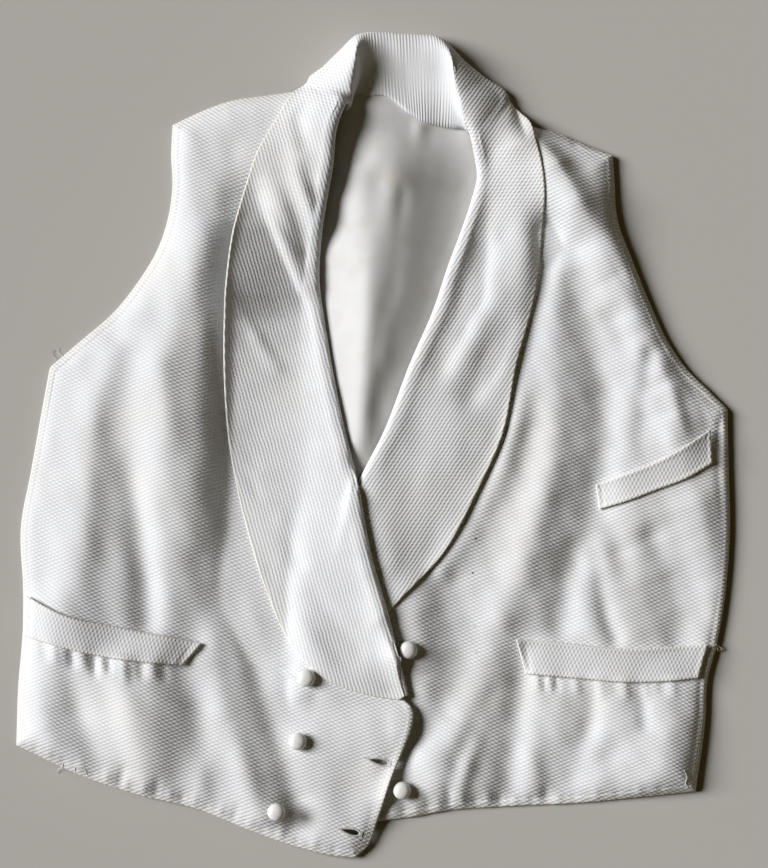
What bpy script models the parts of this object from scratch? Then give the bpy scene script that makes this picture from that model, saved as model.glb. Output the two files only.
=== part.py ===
"""A double-breasted cotton pique waistcoat of the 1840s, laid flat on its back with its collar folded.

Lengths here are millimetres, with +X the wearer's left, +Y towards the collar and +Z up from the floor.
The viewer's left front is the wearer's right one, and it lies over the other.
"""

import math

import bpy
import numpy as np
from mathutils.bvhtree import BVHTree

MM = 0.001
SEAM_GAP = 0.3
WELT_GAP = 0.55
BACK_THICK = 1.6
FRONT_THICK = 2.0
COLLAR_THICK = 2.4
WELT_THICK = 1.8
NECK_LIFT = 2.9  # the back's neck rests on the collar's fall
ROLL_RADIUS = 5.0
TUCK_UNDER_ROLL = 7.0  # from the roll line to the front's own edge under the lapel
BUTTON_RADIUS = 6.4
BUTTON_HEIGHT = 7.8
HOLE_WIDTH = 3.6

# Outlines, each a short list of (x, y), smoothed through its knots.
RIGHT_SHOULDER = [(-24, 257), (-58, 255), (-82, 252), (-102, 249), (-120, 243), (-146, 231)]
RIGHT_ARMHOLE = [(-146, 231), (-147, 210), (-146, 186), (-149, 163), (-157, 139), (-170, 117),
                 (-188, 94), (-212, 73), (-234, 54)]
RIGHT_SIDE = [(-234, 54), (-240, 20), (-247, -21), (-254, -62), (-252, -107), (-252, -134),
              (-255, -177), (-256, -218)]
RIGHT_HEM = [(-13, -298), (-26, -297), (-53, -291), (-85, -280), (-128, -263), (-170, -253),
             (-206, -241), (-256, -218)]
RIGHT_FRONT_EDGE = [(26.5, -189), (28.8, -195.5), (27.8, -203), (21, -222), (13, -241), (3, -272),
                    (-4, -290), (-13, -298)]
RIGHT_ROLL = [(-19.5, 243), (-26, 226), (-29, 198), (-34, 170), (-38, 142), (-39, 116),
              (-35, 86), (-29, 50), (-22, 15), (-11, -30), (-1, -83), (11, -125), (21.5, -168), (25.2, -182)]
RIGHT_LAPEL_EDGE = [(-58, 255), (-71, 233), (-84, 209), (-93, 182), (-101, 148), (-106, 103),
                    (-107, 45), (-101, -20), (-92, -60), (-78, -105), (-59, -146), (-37, -169),
                    (-3, -182), (18.5, -185.5)]
LEFT_SHOULDER = [(77, 241), (115, 230), (135, 225), (151, 218), (174, 209)]
LEFT_ARMHOLE = [(174, 209), (175, 191), (177, 163), (188, 132), (202, 97), (212, 75), (226, 54),
                (240, 37), (250, 26)]
LEFT_SIDE = [(250, 26), (249, -18), (252, -67), (253, -96), (244, -146), (236, -172), (235, -198),
             (226, -250)]
LEFT_HEM = [(-23, -276), (7, -272), (31, -269), (52, -265), (93, -262), (153, -259), (183, -256),
            (226, -250)]
LEFT_FRONT_EDGE = [(-58.5, -190), (-53, -222), (-39, -251), (-23, -276)]
LEFT_ROLL = [(69.5, 222), (73, 207), (75, 194), (71, 176), (64, 155), (54, 128), (43, 95),
             (27, 58), (7, 6), (-11, -30), (-28, -85), (-46, -143), (-57, -181)]
LEFT_LAPEL_EDGE = [(113, 234), (119, 212), (123.5, 180), (122, 152), (117, 108), (103, 55),
                   (92, 3), (76, -33), (49, -82), (22, -111), (-17, -150), (-49, -178)]
BACK_RIGHT_NECK = [(-24, 257), (-19, 254), (0, 253.5), (13, 253), (24, 240), (36, 234), (50, 231.5),
                   (68, 231), (77, 240)]
BACK_LEFT_ARMHOLE = [(174, 208), (175, 190), (177, 162), (187, 132), (201, 97), (211, 75),
                     (225, 54), (240, 37), (256, 20)]
BACK_LEFT_SIDE = [(256, 20), (260, 8), (259.5, -54), (257, -96), (249, -149), (242, -190),
                  (238, -221), (235, -251)]
BACK_HEM = [(-255, -217), (-120, -232), (0, -240), (120, -246), (235, -251)]

# Folds: (name, width of the fold, its line of (x, y, height)). A trough has a height below 0.
BACK_FOLDS = [
    ("centre ridge", 13, [(17, 175, 2.5), (12, 109, 3), (7, 66, 3), (0, 8, 2.5), (-8, -22, 1.5)]),
    ("right crease", 9, [(46, 165, 1.5), (32, 110, 2), (14, 50, 1.5)]),
]
RIGHT_FOLDS = [
    ("roll", 34, [(-22, 245, 10), (-30, 198, 10), (-38, 120, 8), (-29, 50, 7), (-11, -30, 4),
                  (11, -125, 2), (27, -190, 1)]),
    ("shoulder ridge", 24, [(-85, 205, 5), (-130, 140, 8), (-165, 75, 8), (-160, 0, 6), (-158, -95, 5)]),
    ("trough by the lapel", 15, [(-124, 95, -3), (-128, 0, -4), (-136, -95, -4)]),
    ("side trough", 10, [(-186, 60, -4), (-195, 20, -5), (-192, -56, -5), (-172, -92, -3)]),
    ("side ridge", 14, [(-222, 30, 4), (-228, -60, 5), (-226, -105, 2)]),
    ("trough past the pocket", 10, [(-140, -174, -4), (-150, -236, -4)]),
    ("hem ridge", 13, [(-118, -110, 3), (-112, -170, 5), (-100, -250, 5)]),
    ("diagonal trough", 11, [(-92, -150, -3), (-80, -190, -4), (-66, -262, -3)]),
    ("button ridge", 16, [(-28, -205, 2), (-38, -262, 3)]),
]
LEFT_FOLDS = [
    ("roll", 32, [(72, 232, 10), (72, 200, 10), (62, 150, 9), (40, 90, 7), (15, 31, 4),
                  (-8, -25, 0.5), (-40, -125, 0)]),
    ("shoulder ridge", 13, [(112, 222, 5), (130, 198, 8), (148, 174, 9), (163, 150, 9), (176, 128, 8),
                            (189, 104, 6), (199, 80, 4)]),
    ("middle trough", 18, [(156, 110, -4), (146, 40, -5), (134, -85, -4)]),
    ("trough by the lapel", 10, [(140, 165, -2), (126, 70, -3), (110, 0, -3), (88, -52, -2)]),
    ("ridge above the breast pocket", 16, [(198, 70, 4), (196, 42, 3)]),
    ("fold under the breast pocket", 12, [(165, -68, 3), (190, -95, 5), (214, -126, 3)]),
    ("low ridge", 12, [(96, -168, 4), (75, -205, 5), (52, -252, 4)]),
    ("low trough", 10, [(66, -150, -2), (44, -235, -2)]),
    ("first tuck", 7, [(151, -182, 2.5), (151, -228, 2)]),
    ("second tuck", 7, [(185, -182, 2.5), (186, -228, 2)]),
    ("flat under the other front", 45, [(12, -60, -2.5), (-8, -150, -3), (-15, -230, -2.5)]),
]
RIGHT_LAPEL_FOLDS = [
    ("upper crease", 9, [(-76, 172, -2.5), (-52, 120, -3)]),
    ("neck crease", 8, [(-60, 196, -2), (-42, 158, -2.5)]),
    ("long hollow", 17, [(-82, 95, -2), (-80, 10, -2.5), (-66, -60, -2)]),
    ("low hollow", 14, [(-40, -110, -1.5), (-14, -155, -2)]),
]
LEFT_LAPEL_FOLDS = [
    ("neck crease", 8, [(92, 212, -2), (84, 178, -2.5)]),
    ("long hollow", 15, [(98, 130, -2), (76, 50, -2.5), (52, -20, -2)]),
]

# The collar round the neck. Each station is a section of its outer face, as eight (x, y, z):
# the fall's hidden edge, its middle, its turn off the floor, the outermost point, the upper turn,
# the crest of the fold, the middle of the stand and the neck seam.
RIGHT_NECK_STATIONS = [
    [(24, 229, 0), (22, 262, 0), (20.8, 292, 0), (20.6, 298.5, 6), (20.8, 293, 11.6),
     (21, 284, 12.2), (22.5, 264, 10), (25, 238.5, 7.2)],
    [(7, 242, 0), (6, 270, 0), (6, 292, 0), (6, 299, 6), (6, 293.5, 12), (6.5, 284, 13.2), (8, 268, 10.5),
     (9, 251, 7.2)],
    [(-8, 243, 0), (-6, 270, 0), (-5, 291.5, 0), (-5, 298.5, 6), (-4.5, 293, 14.5), (-4, 285, 17),
     (-3, 268, 12), (-3, 251.5, 7.2)],
    [(-17, 247, 0), (-15, 270, 0), (-13.5, 289.5, 0), (-13.5, 296, 5.5), (-12, 290.5, 18),
     (-10, 283, 24), (-8.5, 267, 14), (-11, 252, 7.2)],
    [(-23, 260, 0), (-23, 270, 0), (-22.5, 281, 0), (-24.5, 285.5, 4.5), (-21, 280.5, 16),
     (-13.5, 271, 29), (-11, 261, 17), (-15.5, 250, 7.2)],
    [(-34, 263, 0), (-34.5, 266.5, 0), (-35, 270, 0.2), (-36.5, 274, 4), (-31, 269, 14.5),
     (-16.5, 258, 31), (-14, 251, 18), (-18.5, 244.5, 7.6)],
    [(-46, 261.5, 0.4), (-46.7, 263, 1.4), (-47.3, 264.3, 3), (-47.5, 265, 5.5), (-41, 260.5, 13.5),
     (-18, 250, 31), (-16, 243.5, 19), (-21, 238.5, 8)],
]
LEFT_NECK_STATIONS = [
    [(24.35, 229, 0), (22.35, 262, 0), (21.15, 292, 0), (20.95, 298.5, 6), (21.15, 293, 11.6),
     (21.35, 284, 12.2), (22.85, 264, 10), (25.35, 238.5, 7.2)],
    [(36, 223, 0), (35, 262, 0), (34, 290, 0), (34, 297, 6), (34, 291.5, 12), (34.5, 281, 13),
     (35, 258, 10.5), (36, 232.5, 7.2)],
    [(49, 220, 0), (48, 262, 0), (47, 289, 0), (47, 295.5, 6), (47, 290, 14), (48, 281, 17),
     (49, 258, 12), (48, 229.5, 7.2)],
    [(60, 218, 0), (58, 258, 0), (53.5, 284.5, 0), (54.5, 290.5, 5.5), (54, 285.5, 18),
     (54.5, 278, 24), (57.5, 255, 15), (57, 228, 7.2)],
    [(72, 243.5, 0), (69, 258, 0), (64.5, 272.5, 0), (66, 278, 4.5), (63, 273.5, 16.5),
     (59, 265, 29), (59.5, 247, 18), (63.5, 228, 7.2)],
    [(82, 247.5, 0), (81, 255, 0), (79, 261.5, 0.2), (80.5, 266.5, 4.2), (76, 261.5, 14.5),
     (62.5, 251, 30.5), (63, 239, 19), (67.5, 226.5, 7.6)],
    [(97, 244, 0.4), (97.5, 248, 1.4), (97.7, 251.5, 3), (97.5, 253.8, 5.5), (91, 250.5, 13.5),
     (65.5, 238, 30.5), (65, 230, 20), (70, 221, 8)],
]
SECTION_STEPS = [0, 1, 1.6, 2, 2.3, 2.65, 3, 3.35, 3.7, 4.2, 5, 5.4, 5.8, 6.4, 7]
LAPEL_ACROSS = [0, 0.05, 0.14, 0.26, 0.39, 0.52, 0.65, 0.77, 0.88, 0.95]
ROLL_ANGLES = [90, 60, 30, 0]

# Welts: (name, the front they lie on, upper edge, lower edge).
WELTS = [
    ("welt_right", "front_right", [(-249, -111), (-218, -126), (-181, -134), (-123, -145)],
     [(-250, -140), (-219, -149), (-184, -156), (-136, -161)]),
    ("welt_left", "front_left", [(102, -142), (138, -145), (177, -149), (221, -147), (240, -146)],
     [(109, -167), (144, -170), (183, -173), (214, -172), (233, -170)]),
    ("welt_breast", "front_left", [(160, -31), (180, -24), (198, -17), (218, -7), (243, 9)],
     [(162.5, -49), (183, -43), (204, -35), (225, -27), (244, -16)]),
]
# Buttons: (name, the front they are sewn to, x, y).
BUTTONS = [
    ("button_right_top", "front_right", -47.8, -169.8),
    ("button_right_middle", "front_right", -54, -215),
    ("button_right_low", "front_right", -69, -265),
    ("button_left_top", "front_left", 25, -150),
    ("button_left_middle", "front_left", 19, -203),
    ("button_left_low", "front_left", 20.5, -250),
]
# Buttonholes of the upper front: (name, the outer end, the end by the front edge).
HOLES = [("hole_upper", (-6, -227), (11, -231)), ("hole_lower", (-26, -277), (-9.5, -281))]


def curve_at(knots, steps):
    """Points of the smooth line through knots, at steps counted in knots from 0."""
    knots = np.array(knots, float)
    chord = np.linalg.norm(np.diff(knots, axis=0), axis=1)
    slope = np.gradient(knots, np.concatenate([[0], np.cumsum(chord)]), axis=0)
    steps = np.asarray(steps, float)
    low = np.clip(steps.astype(int), 0, len(knots) - 2)
    f = (steps - low)[:, None]
    h = chord[low][:, None]
    return (
        (2 * f**3 - 3 * f**2 + 1) * knots[low]
        + (f**3 - 2 * f**2 + f) * h * slope[low]
        + (3 * f**2 - 2 * f**3) * knots[low + 1]
        + (f**3 - f**2) * h * slope[low + 1]
    )


def curve(knots, count):
    """The same line as count + 1 points evenly spaced along it."""
    fine = curve_at(knots, np.linspace(0, len(knots) - 1, 40 * len(knots)))
    run = np.concatenate([[0], np.cumsum(np.linalg.norm(np.diff(fine, axis=0), axis=1))])
    at = np.linspace(0, run[-1], count + 1)
    return np.stack([np.interp(at, run, fine[:, i]) for i in range(fine.shape[1])], axis=1)


def joined(*runs):
    """Lines end to end, each next one starting at the last one's end."""
    return np.concatenate([runs[0]] + [run[1:] for run in runs[1:]])


def shifted(line, by):
    """The line moved sideways, to its left for a value above 0."""
    along = np.gradient(line, axis=0)
    along /= np.linalg.norm(along, axis=1)[:, None]
    return line + by * np.stack([-along[:, 1], along[:, 0]], axis=1)


def near(xy, line):
    """Each point's distance to a line of knots, and how many knots along its nearest place is."""
    line = np.array(line, float)
    start, along = line[:-1, :2], np.diff(line[:, :2], axis=0)
    away = xy[..., None, :] - start
    part = np.clip((away * along).sum(-1) / (along**2).sum(-1), 0, 1)
    gap = np.linalg.norm(away - part[..., None] * along, axis=-1)
    best = gap.argmin(-1)[..., None]
    return (
        np.take_along_axis(gap, best, -1)[..., 0],
        (best + np.take_along_axis(part, best, -1))[..., 0],
    )


def inside(xy, ring):
    """Whether each point lies in the closed ring."""
    a, b = ring, np.roll(ring, -1, axis=0)
    x, y = xy[..., 0, None], xy[..., 1, None]
    across = (a[:, 1] > y) != (b[:, 1] > y)
    rise = np.where(b[:, 1] == a[:, 1], 1, b[:, 1] - a[:, 1])
    return (across & (x < a[:, 0] + (y - a[:, 1]) / rise * (b[:, 0] - a[:, 0]))).sum(-1) % 2 == 1


def folds(xy, table):
    """The sum of soft ridges and troughs, each with a bell-shaped section."""
    total = np.zeros(xy.shape[:-1])
    for _, width, line in table:
        gap, at = near(xy, line)
        heights = np.interp(at, np.arange(len(line)), [knot[2] for knot in line])
        total += heights * np.exp(-((gap / width) ** 2))
    return total


def upper(a, b, soft=1.5):
    """The higher of two heights, rounded where they cross."""
    return (a + b + np.sqrt((a - b) ** 2 + soft**2)) / 2


def patch(inner, outer, top, bottom):
    """A grid filled in between four edge lines. inner and outer run down, top and bottom run outward."""
    u = np.linspace(0, 1, len(inner))[:, None, None]
    v = np.linspace(0, 1, len(top))[None, :, None]
    corners = (1 - u) * ((1 - v) * inner[0] + v * outer[0]) + u * ((1 - v) * inner[-1] + v * outer[-1])
    sides = (1 - v) * inner[:, None] + v * outer[:, None]
    return sides + (1 - u) * top[None] + u * bottom[None] - corners


def lifted(xy, z):
    return np.concatenate([xy, z[..., None]], axis=-1)


RIGHT_ROLL_LINE, LEFT_ROLL_LINE = curve(RIGHT_ROLL, 26), curve(LEFT_ROLL, 26)
RIGHT_RING = joined(
    curve(RIGHT_SHOULDER, 12), curve(RIGHT_ARMHOLE, 20), curve(RIGHT_SIDE, 20), curve(RIGHT_HEM, 24)[::-1]
)
LEFT_RING = joined(
    curve(LEFT_SHOULDER, 12), curve(LEFT_ARMHOLE, 20), curve(LEFT_SIDE, 20), curve(LEFT_HEM, 24)[::-1],
    curve(LEFT_FRONT_EDGE, 8)[::-1],
)
LEFT_AREA = joined(LEFT_RING, LEFT_ROLL_LINE[::-1])
LEFT_LAPEL_AREA = joined(curve(LEFT_LAPEL_EDGE, 26), LEFT_ROLL_LINE[::-1])
BACK_AREA = joined(
    curve(RIGHT_SHOULDER, 12), curve(RIGHT_ARMHOLE, 20), curve(RIGHT_SIDE, 20), curve(BACK_HEM, 16),
    curve(BACK_LEFT_SIDE, 20)[::-1], curve(BACK_LEFT_ARMHOLE, 20)[::-1], curve(LEFT_SHOULDER, 12)[::-1],
)
RIGHT_FREE = joined(RIGHT_RING, curve(RIGHT_FRONT_EDGE, 12)[::-1])


def back_bottom(xy):
    """The back's underside: on the floor, but raised on the collar's fall by the neck."""
    gap = near(xy, BACK_RIGHT_NECK)[0]
    rise = np.clip((52 - gap) / 34, 0, 1)
    return NECK_LIFT * rise**2 * (3 - 2 * rise) + folds(xy, BACK_FOLDS)


def floor_of_fronts(xy):
    """What the fronts rest on: the back, and the floor beyond its edges."""
    gap = near(xy, BACK_AREA)[0]
    cover = np.where(inside(xy, BACK_AREA), 1, np.exp(-((gap / 9) ** 2)))
    return (back_bottom(xy) + BACK_THICK + SEAM_GAP) * cover


def puffed(xy, edge, table, puff):
    """A front's rise off what it rests on: nothing at its edges, then a soft puff with its folds."""
    gap = near(xy, edge)[0]
    rise = (puff + folds(xy, table)) * (1 - np.exp(-gap / 11))
    return upper(rise, np.full(gap.shape, 0.4), 0.8) - 0.18


def left_bottom(xy):
    return floor_of_fronts(xy) + puffed(xy, LEFT_RING, LEFT_FOLDS, 4.5)


def lapel_rise(xy, edge, table, puff):
    """A lapel's rise off its front: close at its outer edge, fuller towards the roll."""
    gap = near(xy, edge)[0]
    full = puff * (1 - np.exp(-gap / 22)) + folds(xy, table) * (1 - np.exp(-gap / 12))
    return upper(full, np.full(gap.shape, 0.2), 0.6) + 0.95


def left_lapel_top(xy):
    puff = np.interp(xy[..., 1], [-110, 20], [0.5, 4.5])
    rise = lapel_rise(xy, curve(LEFT_LAPEL_EDGE, 26), LEFT_LAPEL_FOLDS, puff)
    return left_bottom(xy) + FRONT_THICK + SEAM_GAP + 1.1 * COLLAR_THICK + rise


def under_right(xy):
    """The top of all that lies under the upper front: the other front, its lapel and a hidden button."""
    base = floor_of_fronts(xy)
    top = base
    layers = (
        (left_bottom(xy) + FRONT_THICK, LEFT_AREA),
        (left_lapel_top(xy), LEFT_LAPEL_AREA),
    )
    for height, area in layers:
        past = np.maximum(near(xy, area)[0] - 7, 0)
        cover = np.where(inside(xy, area), 1, np.exp(-((past / 13) ** 2)))
        top = np.maximum(top, base + (height + 2.0 - base) * cover)
    hidden = np.linalg.norm(xy - np.array(BUTTONS[4][2:]), axis=-1)
    return top + (BUTTON_HEIGHT + 0.8) * np.exp(-((hidden / 25) ** 4))


def right_bottom(xy):
    own = floor_of_fronts(xy) + puffed(xy, RIGHT_FREE, RIGHT_FOLDS, 5.0)
    return upper(own, under_right(xy), 1.0)


def right_lapel_top(xy):
    rise = lapel_rise(xy, curve(RIGHT_LAPEL_EDGE, 26), RIGHT_LAPEL_FOLDS, 4.5)
    return right_bottom(xy) + FRONT_THICK + SEAM_GAP + 1.1 * COLLAR_THICK + rise


def lapel_rows(edge, roll, top_of, under_of, outward):
    """The lapel's outer face: across it from its edge, round the roll and down towards what lies under."""
    deep = roll + outward * TUCK_UNDER_ROLL
    crest = top_of(deep)
    under = under_of(roll) + 0.7
    radius = np.minimum(ROLL_RADIUS, 0.75 * (crest - under))[:, None]
    start = roll + outward * radius
    across = np.array(LAPEL_ACROSS)[None, :, None]
    flat = edge[:, None] + (start - edge)[:, None] * across
    rows = [lifted(flat, top_of(flat))]
    for angle in np.radians(ROLL_ANGLES):
        place = roll + outward * radius * (1 - math.cos(angle))
        rows.append(lifted(place, crest - radius[:, 0] * (1 - math.sin(angle)))[:, None])
    low = np.minimum(crest - radius[:, 0] - 0.4, under + 0.3 * (crest - radius[:, 0] - under))
    rows.append(lifted(roll + outward * 1.2, np.maximum(low, under - 0.1))[:, None])
    return np.concatenate(rows, axis=1)


def collar_face(stations, rows, refine):
    """The collar's outer face: the neck stations drawn smoothly into the lapel's rows."""
    neck = np.array([curve_at(station, SECTION_STEPS) for station in stations])
    neck[..., 2] = np.maximum(neck[..., 2], 0)
    knots = np.concatenate([neck, rows[:3]]).reshape(len(neck) + 3, -1)
    steps = np.linspace(0, len(neck), len(neck) * refine + 1)
    drawn = curve_at(knots, steps).reshape(len(steps), -1, 3)
    drawn[..., 2] = np.maximum(drawn[..., 2], 0)
    return np.concatenate([drawn, rows[1:]])


def grid_faces(rows, columns, base, flip):
    """Triangles of a grid of points, as three indices each."""
    index = base + np.arange(rows * columns).reshape(rows, columns)
    a, b, c, d = index[:-1, :-1], index[1:, :-1], index[1:, 1:], index[:-1, 1:]
    found = np.concatenate(
        [np.stack([a, b, c], -1).reshape(-1, 3), np.stack([a, c, d], -1).reshape(-1, 3)]
    )
    return found[:, ::-1] if flip else found


def wall_mesh(upper_face, lower_face):
    """Points and outward triangles of the wall between two grids of the same shape."""
    rows, columns = upper_face.shape[:2]
    points = np.concatenate([upper_face.reshape(-1, 3), lower_face.reshape(-1, 3)])
    index = np.arange(rows * columns).reshape(rows, columns)
    rim = np.concatenate([index[:-1, 0], index[-1, :-1], index[:0:-1, -1], index[0, :0:-1]])
    after, down = np.roll(rim, -1), rows * columns
    sides = np.concatenate(
        [np.stack([after, rim, rim + down], -1), np.stack([after, rim + down, after + down], -1)]
    )
    faces = np.concatenate(
        [grid_faces(rows, columns, 0, False), grid_faces(rows, columns, down, True), sides]
    )
    corners = points[faces]
    volume = (corners[:, 0] * np.cross(corners[:, 1], corners[:, 2])).sum()
    return points, faces[:, ::-1] if volume < 0 else faces


def face_normals(face):
    """Unit normals of a grid of points, pointing up over the lapel."""
    across = np.cross(np.gradient(face, axis=0), np.gradient(face, axis=1))
    across /= np.linalg.norm(across, axis=-1)[..., None]
    return across if across[-5, 4, 2] > 0 else -across


def material(name, colour, roughness, sheen=0.0):
    made = bpy.data.materials.new(name)
    made.use_nodes = True
    shader = made.node_tree.nodes["Principled BSDF"]
    shader.inputs["Base Color"].default_value = (*colour, 1)
    shader.inputs["Roughness"].default_value = roughness
    shader.inputs["Metallic"].default_value = 0.0
    shader.inputs["Sheen Weight"].default_value = sheen
    made.diffuse_color = (*colour, 1)
    return made


def solid(name, points, faces, look, smooth=False):
    """A named object of these points, given in millimetres from the garment's own floor centre."""
    mesh = bpy.data.meshes.new(name)
    mesh.from_pydata(((points - ORIGIN) * MM).tolist(), [], faces.tolist())
    mesh.polygons.foreach_set("use_smooth", [smooth] * len(faces))
    mesh.materials.append(look)
    made = bpy.data.objects.new(name, mesh)
    bpy.context.scene.collection.objects.link(made)
    return made


def cut(target, cutter):
    """Cuts the closed cutter out of the target."""
    cutter.hide_render = True
    cutter.display_type = "WIRE"
    step = target.modifiers.new(cutter.name, "BOOLEAN")
    step.operation = "DIFFERENCE"
    step.solver = "EXACT"
    step.object = cutter


def slot_points(start, end, width, low, high, count=10):
    """A lens-shaped slot from one end to the other, widest towards the second, as a closed prism."""
    start, end = np.array(start, float), np.array(end, float)
    side = np.array([-(end - start)[1], (end - start)[0]]) / np.linalg.norm(end - start)
    part = np.linspace(0, 1, count + 1)
    half = width / 2 * np.sin(math.pi * part**1.35) ** 0.7
    one = start + part[:, None] * (end - start) + half[:, None] * side
    other = start + part[1:-1, None] * (end - start) - half[1:-1, None] * side
    ring = np.concatenate([one, other[::-1]])
    size = len(ring)
    points = np.concatenate([lifted(ring, np.full(size, low)), lifted(ring, np.full(size, high))])
    sides = [[size + i, size + (i + 1) % size, (i + 1) % size, i] for i in range(size)]
    return points, [list(range(size)), list(range(size, 2 * size))[::-1]] + sides


def seated(tree, xy):
    """The height of a panel's upper face under each (x, y)."""
    flat = xy.reshape(-1, 2)
    hits = [tree.ray_cast((x, y, 200.0), (0, 0, -1))[0] for x, y in flat.tolist()]
    return np.array([hit[2] if hit else np.nan for hit in hits]).reshape(xy.shape[:-1])


def settled(plan, low, under, gap, passes=6):
    """A panel's underside raised at its own grid points until it clears the points that lie under it."""
    low = low.ravel().copy()
    faces = grid_faces(*plan.shape[:2], 0, False)
    for _ in range(passes):
        tree = BVHTree.FromPolygons(lifted(plan.reshape(-1, 2), low).tolist(), faces.tolist())
        rise = np.zeros(len(low))
        for x, y, z in under.tolist():
            hit, _, face, _ = tree.ray_cast((x, y, -50.0), (0, 0, 1))
            if hit and hit[2] < z + gap:
                rise[faces[face]] = np.maximum(rise[faces[face]], z + gap - hit[2])
        low += rise
    return low.reshape(plan.shape[:2])


def button_points(x, y, base, turns=14):
    """A low dome on a short foot, turned round its axis."""
    profile = [(3.6, 0), (5.7, 1.2), (BUTTON_RADIUS, 3.2), (5.9, 5.1), (4.4, 6.7), (2.3, 7.5)]
    angle = np.arange(turns) * 2 * math.pi / turns
    ring = np.stack([np.cos(angle), np.sin(angle)], -1)
    points = [lifted(r * ring, np.full(turns, float(z))) for r, z in profile]
    points = np.concatenate(points + [[(0, 0, 0)], [(0, 0, BUTTON_HEIGHT)]])
    faces = []
    for level in range(len(profile) - 1):
        for i in range(turns):
            a, b = level * turns + i, level * turns + (i + 1) % turns
            faces += [(a, b, b + turns), (a, b + turns, a + turns)]
    bottom, tip, last = len(points) - 2, len(points) - 1, (len(profile) - 1) * turns
    for i in range(turns):
        faces += [(bottom, (i + 1) % turns, i), (tip, last + i, last + (i + 1) % turns)]
    return points + (x, y, base), np.array(faces)


for old in list(bpy.data.objects):
    bpy.data.objects.remove(old)

ORIGIN = np.array([
    (min(x for x, _ in RIGHT_SIDE) + max(x for x, _ in BACK_LEFT_SIDE)) / 2,
    (min(y for _, y in RIGHT_HEM) + max(s[3][1] for s in RIGHT_NECK_STATIONS)) / 2,
    0.0,
])

PIQUE = material("cotton pique", (0.78, 0.77, 0.73), 0.88, 0.15)
PLAIN = material("plain cotton", (0.76, 0.75, 0.72), 0.8)
CHINA = material("white button", (0.80, 0.79, 0.76), 0.4)

# The back, laid on the floor.
back_left = joined(curve(BACK_LEFT_ARMHOLE, 9), curve(BACK_LEFT_SIDE, 12))
back_right = joined(shifted(curve(RIGHT_ARMHOLE, 9), -0.6), shifted(curve(RIGHT_SIDE, 12), -0.6))
back_top = joined(
    curve(RIGHT_SHOULDER, 5)[::-1] - (0, 0.6), curve(BACK_RIGHT_NECK, 9), curve(LEFT_SHOULDER, 5) - (0, 0.6)
)
back_hem = curve(BACK_HEM, len(back_top) - 1)
back_plan = patch(back_right, back_left, back_top, back_hem)
back_low = back_bottom(back_plan)
solid("back", *wall_mesh(lifted(back_plan, back_low + BACK_THICK), lifted(back_plan, back_low)), PLAIN)

# The fronts, the wearer's left one first.
def inner_edge(shoulder, roll, tuck, front_edge):
    """A front's inner line: down under the lapel from the shoulder, then along its own front edge."""
    under = shifted(curve(roll, 20), tuck)[1:]
    return np.concatenate([[shoulder[0]], under, curve(front_edge, 5)])


left_plan = patch(
    inner_edge(LEFT_SHOULDER, LEFT_ROLL, TUCK_UNDER_ROLL, LEFT_FRONT_EDGE),
    joined(curve(LEFT_ARMHOLE, 10), curve(LEFT_SIDE, 16)),
    curve(LEFT_SHOULDER, 18),
    curve(LEFT_HEM, 18),
)
right_plan = patch(
    inner_edge(RIGHT_SHOULDER, RIGHT_ROLL, -TUCK_UNDER_ROLL, RIGHT_FRONT_EDGE),
    joined(curve(RIGHT_ARMHOLE, 10), curve(RIGHT_SIDE, 16)),
    curve(RIGHT_SHOULDER, 18),
    curve(RIGHT_HEM, 18),
)
COLLARS = {
    "left": (LEFT_NECK_STATIONS, LEFT_LAPEL_EDGE, LEFT_ROLL, left_lapel_top, floor_of_fronts, 1),
    "right": (RIGHT_NECK_STATIONS, RIGHT_LAPEL_EDGE, RIGHT_ROLL, right_lapel_top, under_right, -1),
}


def collar(hand, panel_points, tree):
    """One half of the shawl collar, from the centre back to the lapel's tip. It returns its points.
    Its lapel is raised wherever its inner face would come too near the front's points."""
    stations, edge, roll, top_of, under_of, side = COLLARS[hand]
    roll_line = curve(roll, 26)
    outward = shifted(roll_line, side) - roll_line
    rows = lapel_rows(curve(edge, 26), roll_line, top_of, under_of, outward)
    face = collar_face(stations, rows, 2)
    normals = face_normals(face)
    normals[0, :, 0] = 0
    first = 2 * len(stations)
    inner = (face - COLLAR_THICK * normals)[first:, :11]
    low = np.fmax(inner[..., 2], seated(tree, inner[..., :2]) + 0.5)
    rise = settled(inner[..., :2], low, panel_points, 0.5) - inner[..., 2]
    face[first:, :11, 2] += rise
    face[first:, 11:14, 2] += rise[:, 10:]
    points, faces = wall_mesh(face, face - COLLAR_THICK * normals)
    solid(f"collar_{hand}", points, faces, PIQUE)
    return points


def front(hand, plan, low):
    """One front, from its grid and its underside. It returns its points, its object and its tree."""
    points, faces = wall_mesh(lifted(plan, low + FRONT_THICK), lifted(plan, low))
    made = solid(f"front_{hand}", points, faces, PIQUE)
    return points, made, BVHTree.FromPolygons(points.tolist(), faces.tolist())


def buttons(hand, tree):
    """The buttons of one front, each just clear of the highest point under its foot."""
    angle = np.linspace(0, 2 * math.pi, 17)
    foot = 4.5 * np.stack([np.cos(angle), np.sin(angle)], -1)
    found = []
    for name, panel, x, y in BUTTONS:
        if panel == f"front_{hand}":
            points, faces = button_points(x, y, seated(tree, foot + (x, y)).max() + SEAM_GAP)
            solid(name, points, faces, CHINA, smooth=True)
            found.append(points)
    return np.concatenate(found)


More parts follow.
